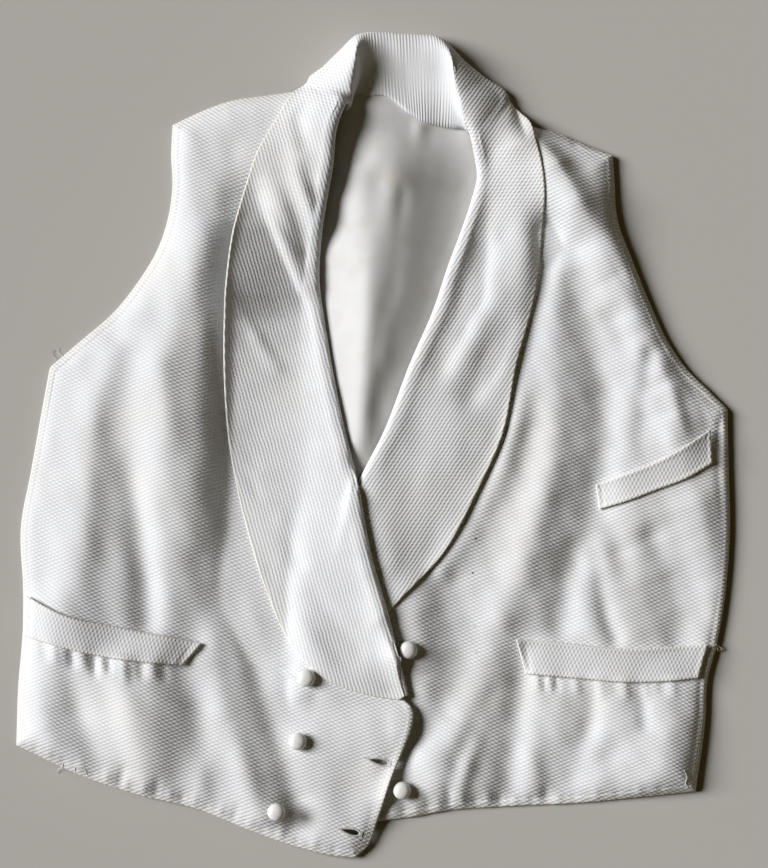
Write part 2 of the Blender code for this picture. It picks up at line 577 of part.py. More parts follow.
panels = {}
left_points, _, panels["front_left"] = front("left", left_plan, left_bottom(left_plan))
left_collar = collar("left", left_points, panels["front_left"])
beneath = np.concatenate([left_points, left_collar, buttons("left", panels["front_left"])])
right_low = settled(right_plan, right_bottom(right_plan), beneath, 0.6)
right_points, right_made, panels["front_right"] = front("right", right_plan, right_low)
collar("right", right_points, panels["front_right"])
buttons("right", panels["front_right"])
for hole, start, end in HOLES:
    points, faces = slot_points(start, end, HOLE_WIDTH, -5, 60)
    cutter = bpy.data.meshes.new(hole)
    cutter.from_pydata(((points - ORIGIN) * MM).tolist(), [], faces)
    placed = bpy.data.objects.new(hole, cutter)
    bpy.context.scene.collection.objects.link(placed)
    cut(right_made, placed)

# The pocket welts, each from its panel's own upper face.
for name, panel, top, bottom in WELTS:
    top, bottom = curve(top, 12), curve(bottom, 12)
    part = np.linspace(0, 1, 4)[None, :, None]
    plan = top[:, None] * (1 - part) + bottom[:, None] * part
    low = seated(panels[panel], plan) + WELT_GAP
    solid(name, *wall_mesh(lifted(plan, low + WELT_THICK), lifted(plan, low)), PIQUE)
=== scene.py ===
"""The look of a double-breasted cotton waistcoat of the 1840s, laid flat on its back.

Lengths here are millimetres in the garment's own plan, with +X the wearer's left, +Y towards the
collar and +Z up from the floor. They become metres in the model's frame when a mesh is made.
"""

import math

import bpy
import numpy as np
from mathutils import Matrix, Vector


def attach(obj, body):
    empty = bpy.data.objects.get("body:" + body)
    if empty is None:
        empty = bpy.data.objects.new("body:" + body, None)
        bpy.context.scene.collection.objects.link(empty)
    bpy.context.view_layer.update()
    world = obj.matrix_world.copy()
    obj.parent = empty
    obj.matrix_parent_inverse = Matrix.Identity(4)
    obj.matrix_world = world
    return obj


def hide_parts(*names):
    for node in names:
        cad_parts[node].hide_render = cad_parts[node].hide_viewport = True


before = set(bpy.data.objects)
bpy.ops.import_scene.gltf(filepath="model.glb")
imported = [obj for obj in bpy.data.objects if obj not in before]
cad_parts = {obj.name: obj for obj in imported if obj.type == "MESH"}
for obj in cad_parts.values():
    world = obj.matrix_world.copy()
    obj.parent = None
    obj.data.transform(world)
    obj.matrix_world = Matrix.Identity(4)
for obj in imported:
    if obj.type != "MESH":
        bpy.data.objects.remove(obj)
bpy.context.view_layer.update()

MM = 0.001
ORIGIN = np.array([2.0, 0.5, 0.0])

# Thicknesses, gaps and sizes of the real pieces.
SEAM_GAP = 0.3
BACK_THICK = 1.6
FRONT_THICK = 2.0
WELT_THICK = 1.8
NECK_LIFT = 2.9
ROLL_RADIUS = 5.0
TUCK_UNDER_ROLL = 7.0
BUTTON_RADIUS = 6.4
BUTTON_HEIGHT = 7.8
HOLE_WIDTH = 3.6
STITCH_INSET = 5.0  # from a turned edge to the row of stitches that holds it
RIGHT_PUFF = 13.0  # how high the cloth of each front stands off the back between its folds
LEFT_PUFF = 8.0
RIDGE_SPACING = 5.3  # the pique's diamonds, along a row
ROW_SPACING = 2.8  # and from row to row
COLLAR_SHOWN = 1.5  # how thick the collar's cloth is drawn
FRONT_SHOWN = 1.5  # and the fronts', inside their edges
RIB_SPACING = 2.3  # of the ribs that the weave makes round the collar's stand
LINING_SPACING = 1.8  # two threads of the lining's plain weave
HEXAGON = np.arange(6) * math.pi / 3  # a thread's section is a ring of six points
CELL = 1.5  # of the height maps that show a layer what lies under it
MAP_CORNER = np.array([-270.0, -310.0])
MAP_SIZE = (int(560 / CELL), int(630 / CELL))
PANEL_LENGTH = 480  # about, from shoulder to hem, to place the close steps at its ends
ARMHOLE_SHARE = 0.43  # of a panel's height, with its side seam below
ROLL_SHARE = 0.79  # of a front's height, with its free edge below
RIGHT_STANDOFF = 2.4  # the least height of the right front over the back
LAPEL_LENGTH = 450  # about, from neck to tip, to place the close rows at its tip
LAPEL_STEPS = 26  # even parts of that, the first of which joins it to the neck's sections
STATION_ROWS = 11  # rows of points from one section of the collar to the next
RIBBED_ROWS = 34  # of those at the centre back, whose ribs reach over the fold
ROLL_COLUMNS = (10, 13)  # a collar's columns that go round its roll, of 0 to 14
GRAIN = {  # degrees from the wearer's left to the rows of the weave
    "back": 3, "front_left": -6, "front_right": -8, "collar_left": 28, "collar_right": -46,
    "welt_right": 78, "welt_left": 84, "welt_breast": 88,
}

# Outlines, each a short list of (x, y), smoothed through its knots.
RIGHT_SHOULDER = [(-24, 257), (-58, 255), (-82, 252), (-102, 249), (-120, 243), (-146, 231)]
RIGHT_ARMHOLE = [(-146, 231), (-147, 210), (-146, 186), (-149, 163), (-157, 139), (-170, 117),
                 (-188, 94), (-212, 73), (-234, 54)]
RIGHT_SIDE = [(-234, 54), (-240, 20), (-247, -21), (-254, -62), (-252, -107), (-252, -134),
              (-255, -177), (-256, -218)]
RIGHT_HEM = [(-13, -298), (-26, -297), (-53, -291), (-85, -280), (-128, -263), (-170, -253),
             (-206, -241), (-256, -218)]
RIGHT_FRONT_EDGE = [(26.5, -189), (28.8, -195.5), (27.8, -203), (21, -222), (13, -241), (3, -272),
                    (-4, -290), (-13, -298)]
RIGHT_ROLL = [(-19.5, 243), (-26, 226), (-29, 198), (-34, 170), (-38, 142), (-39, 116),
              (-35, 86), (-29, 50), (-22, 15), (-11, -30), (-1, -83), (11, -125), (21.5, -168), (25.2, -182)]
RIGHT_LAPEL_EDGE = [(-58, 255), (-71, 233), (-84, 209), (-93, 182), (-101, 148), (-106, 103),
                    (-107, 45), (-101, -20), (-92, -60), (-78, -105), (-59, -146), (-37, -169),
                    (-3, -182), (18.5, -185.5)]
LEFT_SHOULDER = [(77, 241), (115, 230), (135, 225), (151, 218), (174, 209)]
LEFT_ARMHOLE = [(174, 209), (175, 191), (177, 163), (188, 132), (202, 97), (212, 75), (226, 54),
                (242, 38), (256, 24)]
LEFT_SIDE = [(256, 24), (256.5, -18), (257, -67), (255, -96), (247, -146), (240, -172), (238.5, -198),
             (231, -251)]
LEFT_HEM = [(-23, -276), (7, -272), (31, -269), (52, -265), (93, -262), (153, -259), (183, -256),
            (231, -251)]
LEFT_FRONT_EDGE = [(-58.5, -190), (-53, -222), (-39, -251), (-23, -276)]
LEFT_ROLL = [(69.5, 222), (73, 207), (75, 194), (71, 176), (64, 155), (54, 128), (43, 95),
             (27, 58), (7, 6), (-11, -30), (-28, -85), (-46, -143), (-57, -181)]
LEFT_LAPEL_EDGE = [(113, 234), (119, 212), (123.5, 180), (122, 152), (117, 108), (103, 55),
                   (92, 3), (76, -33), (49, -82), (22, -111), (-17, -150), (-49, -178)]
BACK_NECK = [(-24, 257), (-19, 254), (0, 253.5), (13, 253), (24, 240), (36, 234), (50, 231.5),
             (68, 231), (77, 240)]
BACK_LEFT_ARMHOLE = [(174, 208), (175, 190), (177, 162), (187, 132), (201, 97), (211, 75),
                     (225, 54), (240, 37), (254, 22)]
BACK_LEFT_SIDE = [(254, 22), (255, 8), (255, -54), (253, -96), (245, -149), (238, -190), (235, -221),
                  (229, -249)]
BACK_HEM = [(-255, -217), (-120, -232), (0, -240), (120, -246), (229, -249)]
FACING_LINE = [(203, 82), (212, 64), (225, 44), (237, 30), (247, 11)]

# Folds: (name, width towards -X, width towards +X, line from top to bottom of (x, y, height)).
# A trough has a height below 0.
BACK_FOLDS = [
    ("centre ridge", 33, 43, [(8, 228, 9), (5, 195, 22), (2, 150, 20.5), (0, 100, 20.5),
        (-3, 50, 17.5), (-7, 0, 13), (-12, -45, 6)]),
    ("neck pucker", 5, 6, [(34, 236, 0), (33.5, 229, 2), (31, 212, 0)]),
    ("its crest", 10, 10, [(3, 190, -3.5), (-1, 150, 0), (-3, 100, 3), (-5, 50, 4), (-8, 0, 5.5)]),
    ("soft line beside it", 5, 6, [(21, 178, -1.5), (18, 150, -0.5), (14, 110, -0.5), (8, 60, 1.5),
        (2, 20, -2)]),
]
RIGHT_FOLDS = [
    ("roll", 34, 34, [(-22, 245, 6), (-30, 198, 2), (-38, 120, -8), (-29, 50, -12), (-13, -20, -8),
                      (-1, -75, 2), (11, -125, 2), (27, -190, -2)]),
    ("under the lapel, upper", 24, 14, [(-84, 174, -4), (-72, 142, -9), (-60, 112, -11), (-53, 88, -9),
        (-50, 60, -4)]),
    ("under the lapel, lower", 26, 22, [(-58, 10, -5), (-50, -30, -6), (-38, -80, -4), (-20, -130, -1)]),
    ("shoulder ridge", 20, 17, [(-90, 204, 2), (-114, 165, 1.5), (-128, 138, 2), (-138, 115, 3),
        (-147, 85, 3), (-154, 55, 10.5), (-152, 20, 10.5), (-148, -15, 7), (-146, -60, 3.5),
        (-147, -100, 1.5), (-149, -128, 0)]),
    ("trough by the lapel", 44, 20, [(-86, 165, -7.5), (-78, 130, -18), (-70, 80, -22), (-72, 30, -21),
        (-76, -20, -20), (-78, -60, -22.5), (-80, -95, -24.5)]),
    ("side trough", 11, 10, [(-186, 62, 3), (-183, 40, 2), (-178, 12, -0.5), (-174, -25, -3.5),
        (-168, -65, -5), (-163, -100, -6), (-161, -130, -5.5)]),
    ("side ridge", 18, 13, [(-190, 78, -3.5), (-198, 40, 4.5), (-204, 5, 5), (-207, -40, 4.5),
        (-208, -80, 4), (-216, -118, -0.5)]),
    ("swell at the side", 16, 16, [(-232, 20, 1.5), (-240, -40, -0.5), (-238, -100, -6)]),
    ("ridge by the welt's end", 8, 8, [(-124, -85, -1), (-119, -112, 0), (-118, -140, 0.5)]),
    ("swell by the side seam", 16, 14, [(-240, -150, 0.5), (-240, -185, 1.5), (-232, -215, 6)]),
    ("trough under the pocket", 9, 9, [(-219, -165, -2.5), (-212, -190, -3), (-206, -212, -1.5),
        (-196, -232, -1.5)]),
    ("bag under the pocket", 14, 14, [(-182, -165, 6.5), (-178, -190, 4.5), (-176, -215, 1),
        (-176, -236, -3)]),
    ("crease under the pocket", 7, 8, [(-174, -168, -1), (-164, -184, -1), (-158, -200, 0)]),
    ("slope past the pocket", 20, 20, [(-160, -165, 7), (-162, -205, 8.5), (-166, -240, 7.5)]),
    ("trough past the pocket", 12, 10, [(-124, -160, 1.5), (-123, -190, -3), (-121, -215, -2),
        (-126, -244, 1.5)]),
    ("hem dent", 6, 6, [(-122, -234, 0.5), (-121, -260, 2)]),
    ("hem ridge", 12, 10, [(-114, -120, 0.5), (-115, -150, 4.5), (-112, -180, 3.5), (-105, -202, 1.5),
        (-96, -222, 3.5), (-88, -244, 4), (-82, -268, 4.5)]),
    ("diagonal trough", 11, 13, [(-92, -110, -9.5), (-86, -135, -18), (-83, -160, -9), (-78, -182, -6),
        (-71, -205, -6.5), (-63, -228, -4), (-58, -250, -4.5), (-54, -270, -12)]),
    ("ridge by the lapel", 14, 14, [(-72, -125, -12), (-62, -160, -8.5), (-52, -195, -6),
        (-44, -230, -1.5), (-40, -262, -1)]),
    ("button ridge", 18, 18, [(-28, -200, -2.5), (-16, -230, -4.5), (-18, -270, -4.5)]),
    ("low swell", 26, 26, [(-120, -150, -8), (-140, -190, 2), (-150, -235, 1)]),
    ("swell of the skirt", 24, 24, [(-215, -150, 6), (-215, -195, 0), (-215, -235, 6)]),
    ("swell over the pocket", 26, 26, [(-225, 40, -4), (-228, -20, -4), (-228, -80, 3),
        (-225, -120, 6.5)]),
    ("slope to the lapel", 22, 20, [(-120, 140, 8), (-124, 85, 9), (-125, 20, 11), (-122, -40, 9),
        (-118, -95, 5)]),
]
LEFT_FOLDS = [
    ("roll", 32, 32, [(72, 232, 3), (72, 200, 1), (62, 150, -2), (40, 90, -5), (15, 31, -7),
        (-8, -25, -6), (-40, -125, -5)]),
    ("flat at the hidden button", 16, 16, [(19, -186, -3), (19, -203, -5), (19, -220, -3)]),
    ("flat under the other front", 45, 45, [(-10, -60, -3), (-14, -150, -4), (-15, -230, -4)]),
    ("under the lapel, upper", 20, 22, [(88, 200, -4.5), (84, 150, -8), (76, 110, 0.5), (62, 70, 3)]),
    ("under the lapel, lower", 22, 24, [(-8, -10, 2), (-3, -50, 7), (5, -90, 9), (13, -125, 9),
        (24, -170, 4)]),
    ("side seam", 2.5, 2.5, [(250, 14, -2), (248.5, -18, -1.5), (251, -67, 0), (251, -96, 0.5),
        (243, -146, -1), (235, -172, -1), (234, -198, -1), (226, -244, -0.5)]),
    ("facing line", 2.5, 2.5, [(203, 82, 0.5), (212, 64, -0.5), (225, 44, -1), (237, 30, 0.5),
        (247, 11, 0)]),
    ("shoulder ridge", 20, 9, [(114, 222, 8.5), (132, 201, 11.5), (143, 181, 6), (153, 161, 2),
        (165, 141, -3), (176, 121, -6.5), (188, 101, -2), (195, 80, -1), (203, 60, 4.5), (213, 38, 9),
        (218, 18, 8), (224, 0, 3.5)]),
    ("ridge by the lapel", 14, 13, [(128, 160, -7), (133, 125, 0.5), (131, 95, 2.5), (129, 60, 3),
        (130, 20, 4.5), (128, -10, 5), (121, -42, 7.5), (112, -75, 4.5), (104, -100, 6),
        (94, -122, 4.5)]),
    ("middle trough", 14, 13, [(146, 125, 1), (153, 100, -2.5), (161, 65, -5), (167, 35, -6.5),
        (167, 0, -5), (162, -35, -6), (156, -62, -4), (146, -85, -8), (140, -105, -4.5),
        (135, -130, -5.5)]),
    ("trough along the lapel", 9, 9, [(126, 150, -9), (122, 105, -3), (112, 60, -1), (104, 15, 5),
        (92, -22, 4), (74, -58, 1.5), (50, -92, 4)]),
    ("ridge beyond the trough", 12, 12, [(176, 90, -5.5), (184, 55, -2.5), (183, 20, 1),
        (180, -12, 1)]),
    ("soft trough over the pocket", 7, 7, [(200, 62, -4.5), (195, 30, -1.5), (193, 0, -1),
        (189, -14, 0)]),
    ("ridge above the breast pocket", 9, 9, [(207, 40, -3.5), (214, 15, 1), (216, 0, 2.5)]),
    ("crease at the armhole", 6, 6, [(216, 66, 3), (228, 36, 1.5), (236, 14, 0.5)]),
    ("fold at the armhole", 7, 8, [(224, 56, -2.5), (236, 30, -1), (244, 6, -3)]),
    ("side swell", 14, 10, [(236, -45, 3), (240, -85, 1.5), (238, -125, -2)]),
    ("fold under the breast pocket", 12, 12, [(170, -58, -2), (178, -80, -4.5), (186, -105, 0),
        (191, -135, 0.5)]),
    ("trough under the breast pocket", 10, 10, [(200, -70, -3.5), (208, -95, 0.5), (220, -120, -1),
        (219, -140, -2.5)]),
    ("crease under the breast pocket", 6, 6, [(160, -82, -1), (164, -110, -2), (168, -128, -3),
        (174, -142, -3)]),
    ("low swell", 10, 9, [(150, -85, 1.5), (148, -110, 1.5), (150, -140, -0.5)]),
    ("ridge before the low trough", 14, 11, [(100, -108, -2), (90, -132, 1), (80, -158, 1.5),
        (70, -182, 2), (60, -204, 5), (51, -226, 4), (45, -250, 4)]),
    ("ridge within the low trough", 6, 6, [(86, -180, -1), (77, -208, 1), (67, -232, 3.5),
        (60, -258, 3.5)]),
    ("low trough", 12, 10, [(112, -142, -2), (107, -168, -5.5), (104, -190, -5.5), (101, -210, -3.5),
        (97, -235, -5), (95, -255, -6.5)]),
    ("bright ridge to the hem", 9, 8, [(118, -176, 0), (120, -200, 0), (114, -222, 2),
        (116, -250, 3)]),
    ("trough at the first tuck", 8, 7, [(158, -176, -1), (156, -202, -3.5), (148, -224, -1),
        (141, -248, -1)]),
    ("ridge before the first tuck", 8, 8, [(135, -178, 0.5), (132, -200, 1), (130, -222, 0.5)]),
    ("after the first tuck", 8, 8, [(174, -178, 1), (180, -200, 1), (170, -225, -1.5),
        (162, -245, 1.5)]),
    ("second tuck", 5, 5, [(193, -178, -1.5), (194, -204, -1.5)]),
    ("after the second tuck", 10, 9, [(207, -180, 0.5), (212, -202, 1.5), (207, -225, 1),
        (201, -246, 1)]),
    ("bulge by the other front", 16, 16, [(60, -100, -1.5), (66, -130, -0.5), (60, -165, -1),
        (50, -195, -4), (38, -225, 4)]),
    ("hollow by the other front", 14, 14, [(34, -110, 3), (34, -150, 3), (34, -190, 3)]),
    ("slope beyond the ridge", 18, 18, [(146, 140, -9), (148, 90, -2.5), (148, 40, 1), (147, -10, 1.5),
        (140, -60, 1), (128, -110, 0.5)]),
    ("swell at the side", 26, 26, [(215, -50, -1), (222, -100, -7.5), (222, -140, -4)]),
    ("swell of the skirt", 26, 26, [(215, -170, -0.5), (215, -210, 3.5), (210, -245, 6.5)]),
    ("swell under the welt", 26, 26, [(140, -170, -3), (135, -210, -1), (130, -250, -7.5)]),
    ("swell by the armhole", 22, 22, [(150, 170, 10.5), (170, 135, 10), (185, 100, 6.5),
        (196, 60, 2.5), (205, 20, -4.5)]),
]
RIGHT_LAPEL_FOLDS = [
    ("dent by the shoulder", 5, 6, [(-58, 248, -1), (-54, 232, -2.5), (-50, 212, -1)]),
    ("upper ridge", 7, 9, [(-62, 222, 0.5), (-54, 196, 2.5), (-42, 162, 2)]),
    ("upper crease", 6, 7, [(-70, 198, 0), (-58, 170, -3), (-46, 138, -4.5)]),
    ("long ridge", 7, 9, [(-80, 184, 1), (-66, 148, 3), (-52, 112, 3)]),
    ("neck crease", 6, 6, [(-52, 204, 0), (-42, 180, -4), (-36, 162, -2.5)]),
    ("upper hollow", 28, 8, [(-86, 172, -3), (-75, 140, -6), (-63, 110, -8), (-55, 84, -5),
        (-52, 58, -1)]),
    ("thin ridge", 6, 6, [(-98, 100, 1), (-84, 76, 2.5), (-70, 54, 1)]),
    ("long hollow", 16, 16, [(-86, 40, -1), (-80, 0, -1), (-70, -50, 0.5), (-54, -100, -1)]),
    ("soft swell", 14, 12, [(-50, 60, -0.5), (-46, 10, 0.5), (-38, -50, 0.5), (-26, -100, 0)]),
    ("small crease", 3.5, 4, [(-96, 2, -0.5), (-90, -8, -1.5), (-85, -17, -0.5)]),
    ("small lower crease", 3.5, 4, [(-95, -18, -0.5), (-88, -30, -1.5), (-83, -40, -0.5)]),
    ("dent", 5, 6, [(-66, -56, 0.5), (-58, -74, -1), (-54, -88, -2)]),
    ("lower dent", 4, 5, [(-80, -82, 0), (-75, -96, -1), (-70, -106, 0)]),
    ("low hollow", 12, 14, [(-44, -118, -3), (-18, -150, -3.5)]),
]
LEFT_LAPEL_FOLDS = [
    ("neck dent", 7, 8, [(92, 228, -1.5), (84, 212, -3.5), (80, 192, -2)]),
    ("neck ridge", 8, 9, [(104, 220, 1), (100, 190, 1), (98, 160, -0.5)]),
    ("hollow by the roll", 14, 8, [(82, 172, -2), (78, 134, -5), (74, 104, -3)]),
    ("cross hollow", 14, 8, [(74, 108, -3), (62, 80, -5), (50, 56, -3)]),
    ("slanting hollow", 14, 8, [(98, 80, -2.5), (85, 55, -5), (72, 34, -3)]),
    ("ridge by the edge", 10, 9, [(110, 150, 0), (106, 100, 0.5), (94, 40, 0.5), (82, 0, 1)]),
    ("middle swell", 12, 12, [(84, 96, 0), (66, 50, 1), (50, 18, 1), (34, -8, 0)]),
    ("low swell", 14, 16, [(62, 10, 2), (44, -30, 0.5), (30, -70, 0.5)]),
]

# How far each lapel puffs up, and how far its free edge lifts, as (y, height).
RIGHT_LAPEL_PUFF = [(-70, 3.5), (0, 1), (110, 1.5), (170, 5)]
LEFT_LAPEL_PUFF = [(-110, 0.5), (20, 4.5)]
RIGHT_LIFT = [(-150, 0.2), (-40, 0.8), (20, 2), (65, 5), (88, 10), (106, 20), (155, 17), (190, 5),
              (240, 0)]
LEFT_LIFT = [(-130, 0.5), (-60, 2), (0, 2.5), (50, 2), (90, 0.5), (240, 0)]

# The collar round the neck. Each station is a section of its outer face, as eight (x, y, z):
# the fall's hidden edge, its middle, its turn off the floor, the outermost point, the upper turn,
# the crest of the fold, the middle of the stand and the neck seam.
RIGHT_NECK_STATIONS = [
    [(24, 229, 0), (22, 262, 0), (20.8, 292, 0), (20.6, 297.6, 5), (20.8, 296.7, 10.5),
     (21, 292.5, 13.4), (22.5, 266, 10.5), (25, 238.5, 7.2)],
    [(7, 242, 0), (6, 270, 0), (6, 292, 0), (6, 299, 5), (6, 298, 10.5), (6.5, 293.8, 14), (8, 270, 11),
     (9, 251, 7.2)],
    [(-8, 243, 0), (-6, 270, 0), (-5, 291.5, 0), (-5, 298.5, 6), (-4.5, 297, 13), (-4, 292.5, 17.5),
     (-3, 269, 12.5), (-3, 251.5, 7.2)],
    [(-17, 247, 0), (-15, 270, 0), (-13.5, 289.5, 0), (-13.5, 296, 6.5), (-12.5, 293.5, 17),
     (-11, 288.5, 24.5), (-8.5, 268, 14), (-11, 252, 7.2)],
    [(-23, 260, 0), (-23, 270, 0), (-22.5, 281, 0), (-24.5, 285.5, 7), (-21, 281.5, 18.5),
     (-14, 273, 28), (-11, 261, 17), (-15.5, 250, 7.2)],
    [(-34, 263, 0), (-34.5, 266.5, 0), (-35, 270, 0.2), (-36.5, 274, 7), (-31, 269, 18),
     (-16.5, 258, 27), (-14, 251, 18), (-18.5, 244.5, 7.6)],
    [(-46, 261.5, 0.4), (-46.7, 263, 1.4), (-47.3, 264.3, 3), (-47.5, 265, 6.5), (-41, 260.5, 15),
     (-18, 250, 23), (-16, 243.5, 17), (-21, 238.5, 8)],
]
LEFT_NECK_STATIONS = [
    [(24.1, 229, 0), (22.1, 262, 0), (20.9, 292, 0), (20.7, 297.6, 5), (20.9, 296.7, 10.5),
     (21.1, 292.5, 13.4), (22.6, 266, 10.5), (25.1, 238.5, 7.2)],
    [(36, 223, 0), (35, 262, 0), (34, 290, 0), (34, 297, 5), (34, 296, 10.5), (34.5, 291.5, 13.6),
     (35, 262, 11), (36, 232.5, 7.2)],
    [(49, 220, 0), (48, 262, 0), (47, 289, 0), (47, 295.5, 6), (47, 294.3, 12), (47.7, 290, 16),
     (49, 261, 12), (48, 229.5, 7.2)],
    [(60, 218, 0), (58, 258, 0), (53.5, 284.5, 0), (54.5, 290.5, 7), (54.2, 288, 15),
     (54.7, 283.5, 20), (57.5, 257, 15), (57, 228, 7.2)],
    [(72, 243.5, 0), (69, 258, 0), (64.5, 272.5, 0), (66, 278, 8.5), (63, 274, 17.5),
     (59, 266, 22.5), (59.5, 247, 18), (63.5, 228, 7.2)],
    [(82, 247.5, 0), (81, 255, 0), (79, 261.5, 0.2), (80.5, 266.5, 6.5), (76, 261.5, 14.5),
     (62.5, 251, 23), (63, 239, 19), (67.5, 226.5, 7.6)],
    [(97, 244, 0.4), (97.5, 248, 1.4), (97.7, 251.5, 3), (97.5, 253.8, 5.5), (91, 250.5, 11.5),
     (65.5, 238, 22.5), (65, 230, 20), (70, 221, 8)],
]
# A section's places, counted in its eight points, for the columns 0 to 14 across the collar.
SECTION_STEPS = [0, 1, 1.6, 2, 2.3, 2.65, 3, 3.35, 3.7, 4.2, 5, 5.4, 5.8, 6.4, 7]
# How far from a lapel's edge to its roll the columns 0 to 10 lie.
LAPEL_ACROSS = [0, 0.05, 0.14, 0.26, 0.39, 0.52, 0.65, 0.77, 0.88, 0.95, 1]

# Welts: (name, the front they lie on, upper edge, lower edge).
WELTS = [
    ("welt_right", "right", [(-249, -111), (-218, -126), (-181, -134), (-123, -145)],
     [(-250, -140), (-219, -149), (-184, -156), (-136, -161)]),
    ("welt_left", "left", [(102, -142), (138, -145), (177, -149), (221, -147), (240, -146)],
     [(109, -167), (144, -170), (183, -173), (214, -172), (233, -170)]),
    ("welt_breast", "left", [(160, -31), (180, -24), (198, -17), (218, -7), (243, 9)],
     [(162.5, -49), (183, -43), (204, -35), (225, -27), (244, -16)]),
]
# Buttons: (name, the front they are sewn to, x, y). The left middle one lies under the right front.
BUTTONS = [
    ("button_right_top", "right", -47.8, -169.8),
    ("button_right_middle", "right", -54, -215),
    ("button_right_low", "right", -69, -265),
    ("button_left_top", "left", 25, -150),
    ("button_left_middle", "left", 19, -203),
    ("button_left_low", "left", 20.5, -250),
]
HIDDEN_BUTTON = np.array(BUTTONS[4][2:], float)
BUTTON_PROFILE = [(0.02, 0), (3.6, 0), (5.6, 1.0), (BUTTON_RADIUS, 3.2), (5.9, 5.1), (4.5, 6.7),
                  (2.4, 7.55), (0.02, BUTTON_HEIGHT)]  # (radius, height) from its foot to its top
# Buttonholes of the upper front: (the outer end, the end by the front edge).
HOLES = [((-6, -227), (11, -231)), ((-26, -277), (-9.5, -281))]

# Loose thread ends and knots: (points with their height over the cloth, radius, colour).
LOOSE_ENDS = [
    ([(-222, -231, 0.2), (-223.5, -234, 1.0), (-226.5, -235.5, 0.8), (-226.5, -238, 0.4)],
     0.18, "white"),
    ([(-214, -238, 0.2), (-212, -233, 0.9), (-207, -234, 0.6), (-205, -239, 0.3)], 0.18, "white"),
    ([(-229, 60, 0.2), (-232, 62, 1.2), (-233.5, 65.5, 1.0), (-231, 67, 0.4)], 0.15, "tan"),
    ([(-226, 63, 0.2), (-229, 66, 1.0), (-228.5, 69, 0.6)], 0.12, "white"),
    ([(246, -146, 1.9), (249, -147.5, 3.0), (250.5, -149, 2.6), (248.6, -150.5, 2.0),
      (247.2, -148.6, 2.6)], 0.4, "tan"),
    ([(232, -168, 0.3), (229.4, -167.2, 1.2), (228, -169, 0.9), (230, -170.4, 0.4)], 0.32, "white"),
    ([(222, -236, 0.3), (224, -240, 0.9), (223.2, -245, 0.5), (225.5, -248.5, 0.3)], 0.25, "white"),
]

# Small gathers at the hems: (share of the hem's length from the front edge, length, width, height).
RIGHT_GATHERS = [
    (0.06, 9, 2.0, -0.8), (0.12, 12, 2.4, 0.9), (0.17, 8, 1.8, -0.8), (0.22, 14, 2.6, 1.1),
    (0.27, 9, 2.0, -1.0), (0.31, 12, 2.4, 1.0), (0.36, 16, 2.2, -1.3), (0.40, 12, 2.4, 1.2),
    (0.44, 10, 2.0, -1.1), (0.475, 15, 2.3, 1.2), (0.51, 12, 2.0, -1.5), (0.545, 12, 2.4, 1.4),
    (0.585, 18, 2.4, -1.8), (0.62, 13, 2.5, 1.5), (0.655, 10, 2.0, -1.3), (0.69, 20, 2.8, -2.0),
    (0.73, 14, 2.8, 1.5), (0.77, 8, 1.8, -1.0), (0.81, 13, 2.5, 1.2), (0.86, 9, 2.0, -1.3),
    (0.905, 11, 2.2, 1.0), (0.945, 9, 2.0, -1.3),
]
LEFT_GATHERS = [
    (0.15, 12, 2.0, 1.1), (0.18, 16, 2.0, -1.6), (0.215, 12, 2.2, 1.2), (0.25, 18, 2.2, -1.6),
    (0.28, 14, 2.2, 1.3), (0.31, 20, 2.2, -1.7), (0.345, 14, 2.2, 1.2), (0.38, 12, 2.0, -1.4),
    (0.415, 14, 2.2, 1.3), (0.45, 12, 2.0, -1.5), (0.49, 10, 2.4, 1.0), (0.54, 9, 2.0, -1.0),
    (0.58, 16, 2.6, -1.5), (0.615, 10, 2.4, 1.0), (0.66, 9, 2.0, -0.8), (0.72, 12, 2.4, 0.8),
    (0.78, 9, 2.0, -0.8), (0.84, 12, 2.4, 0.8), (0.90, 9, 2.0, -0.8),
]
# Puckers under the pocket welts: (x, y, length, width, height), each running down from its place.
RIGHT_PUCKERS = [
    (-236, -146, 14, 3.0, -1.2), (-228, -149, 12, 2.6, 1.2), (-216, -152, 13, 2.6, -2.4),
    (-208, -154, 12, 3.0, 1.5), (-200, -157, 15, 2.4, -2.4), (-194, -158, 10, 2.4, 1.4),
    (-189, -159, 9, 2.0, -2.2), (-178, -160, 16, 3.0, 1.8), (-166, -160, 14, 2.4, -1.8),
    (-158, -161, 12, 2.6, 1.4), (-150, -161, 14, 2.4, -1.4),
]
LEFT_PUCKERS = [
    (117, -170, 10, 2.4, 1.0), (122, -171, 10, 2.0, -1.8), (126, -171, 9, 2.0, 1.2),
    (130, -172, 10, 2.0, -1.6), (145, -173, 10, 2.6, 1.4), (162, -174, 14, 3.0, 1.4),
    (172, -175, 10, 2.4, -1.0), (180, -175, 12, 2.4, 1.4), (194, -175, 12, 2.6, 1.2),
    (206, -174, 10, 2.4, -1.0), (214, -174, 12, 2.6, 1.2),
]


def curve_at(knots, steps):
    """Points of the smooth line through knots, at steps counted in knots from 0: cubic pieces
    whose slope at each knot is that of the two chords that meet there."""
    knots = np.array(knots, float)
    chord = np.maximum(np.linalg.norm(np.diff(knots, axis=0), axis=1), 1e-6)
    slope = np.gradient(knots, np.concatenate([[0], np.cumsum(chord)]), axis=0)
    steps = np.asarray(steps, float)
    low = np.clip(steps.astype(int), 0, len(knots) - 2)
    f = (steps - low)[:, None]
    h = chord[low][:, None]
    return (
        (2 * f**3 - 3 * f**2 + 1) * knots[low]
        + (f**3 - 2 * f**2 + f) * h * slope[low]
        + (3 * f**2 - 2 * f**3) * knots[low + 1]
        + (f**3 - f**2) * h * slope[low + 1]
    )


def run_along(line):
    """The length run from a line's first point to each of its points."""
    return np.concatenate([[0], np.cumsum(np.linalg.norm(np.diff(line, axis=0), axis=-1))])


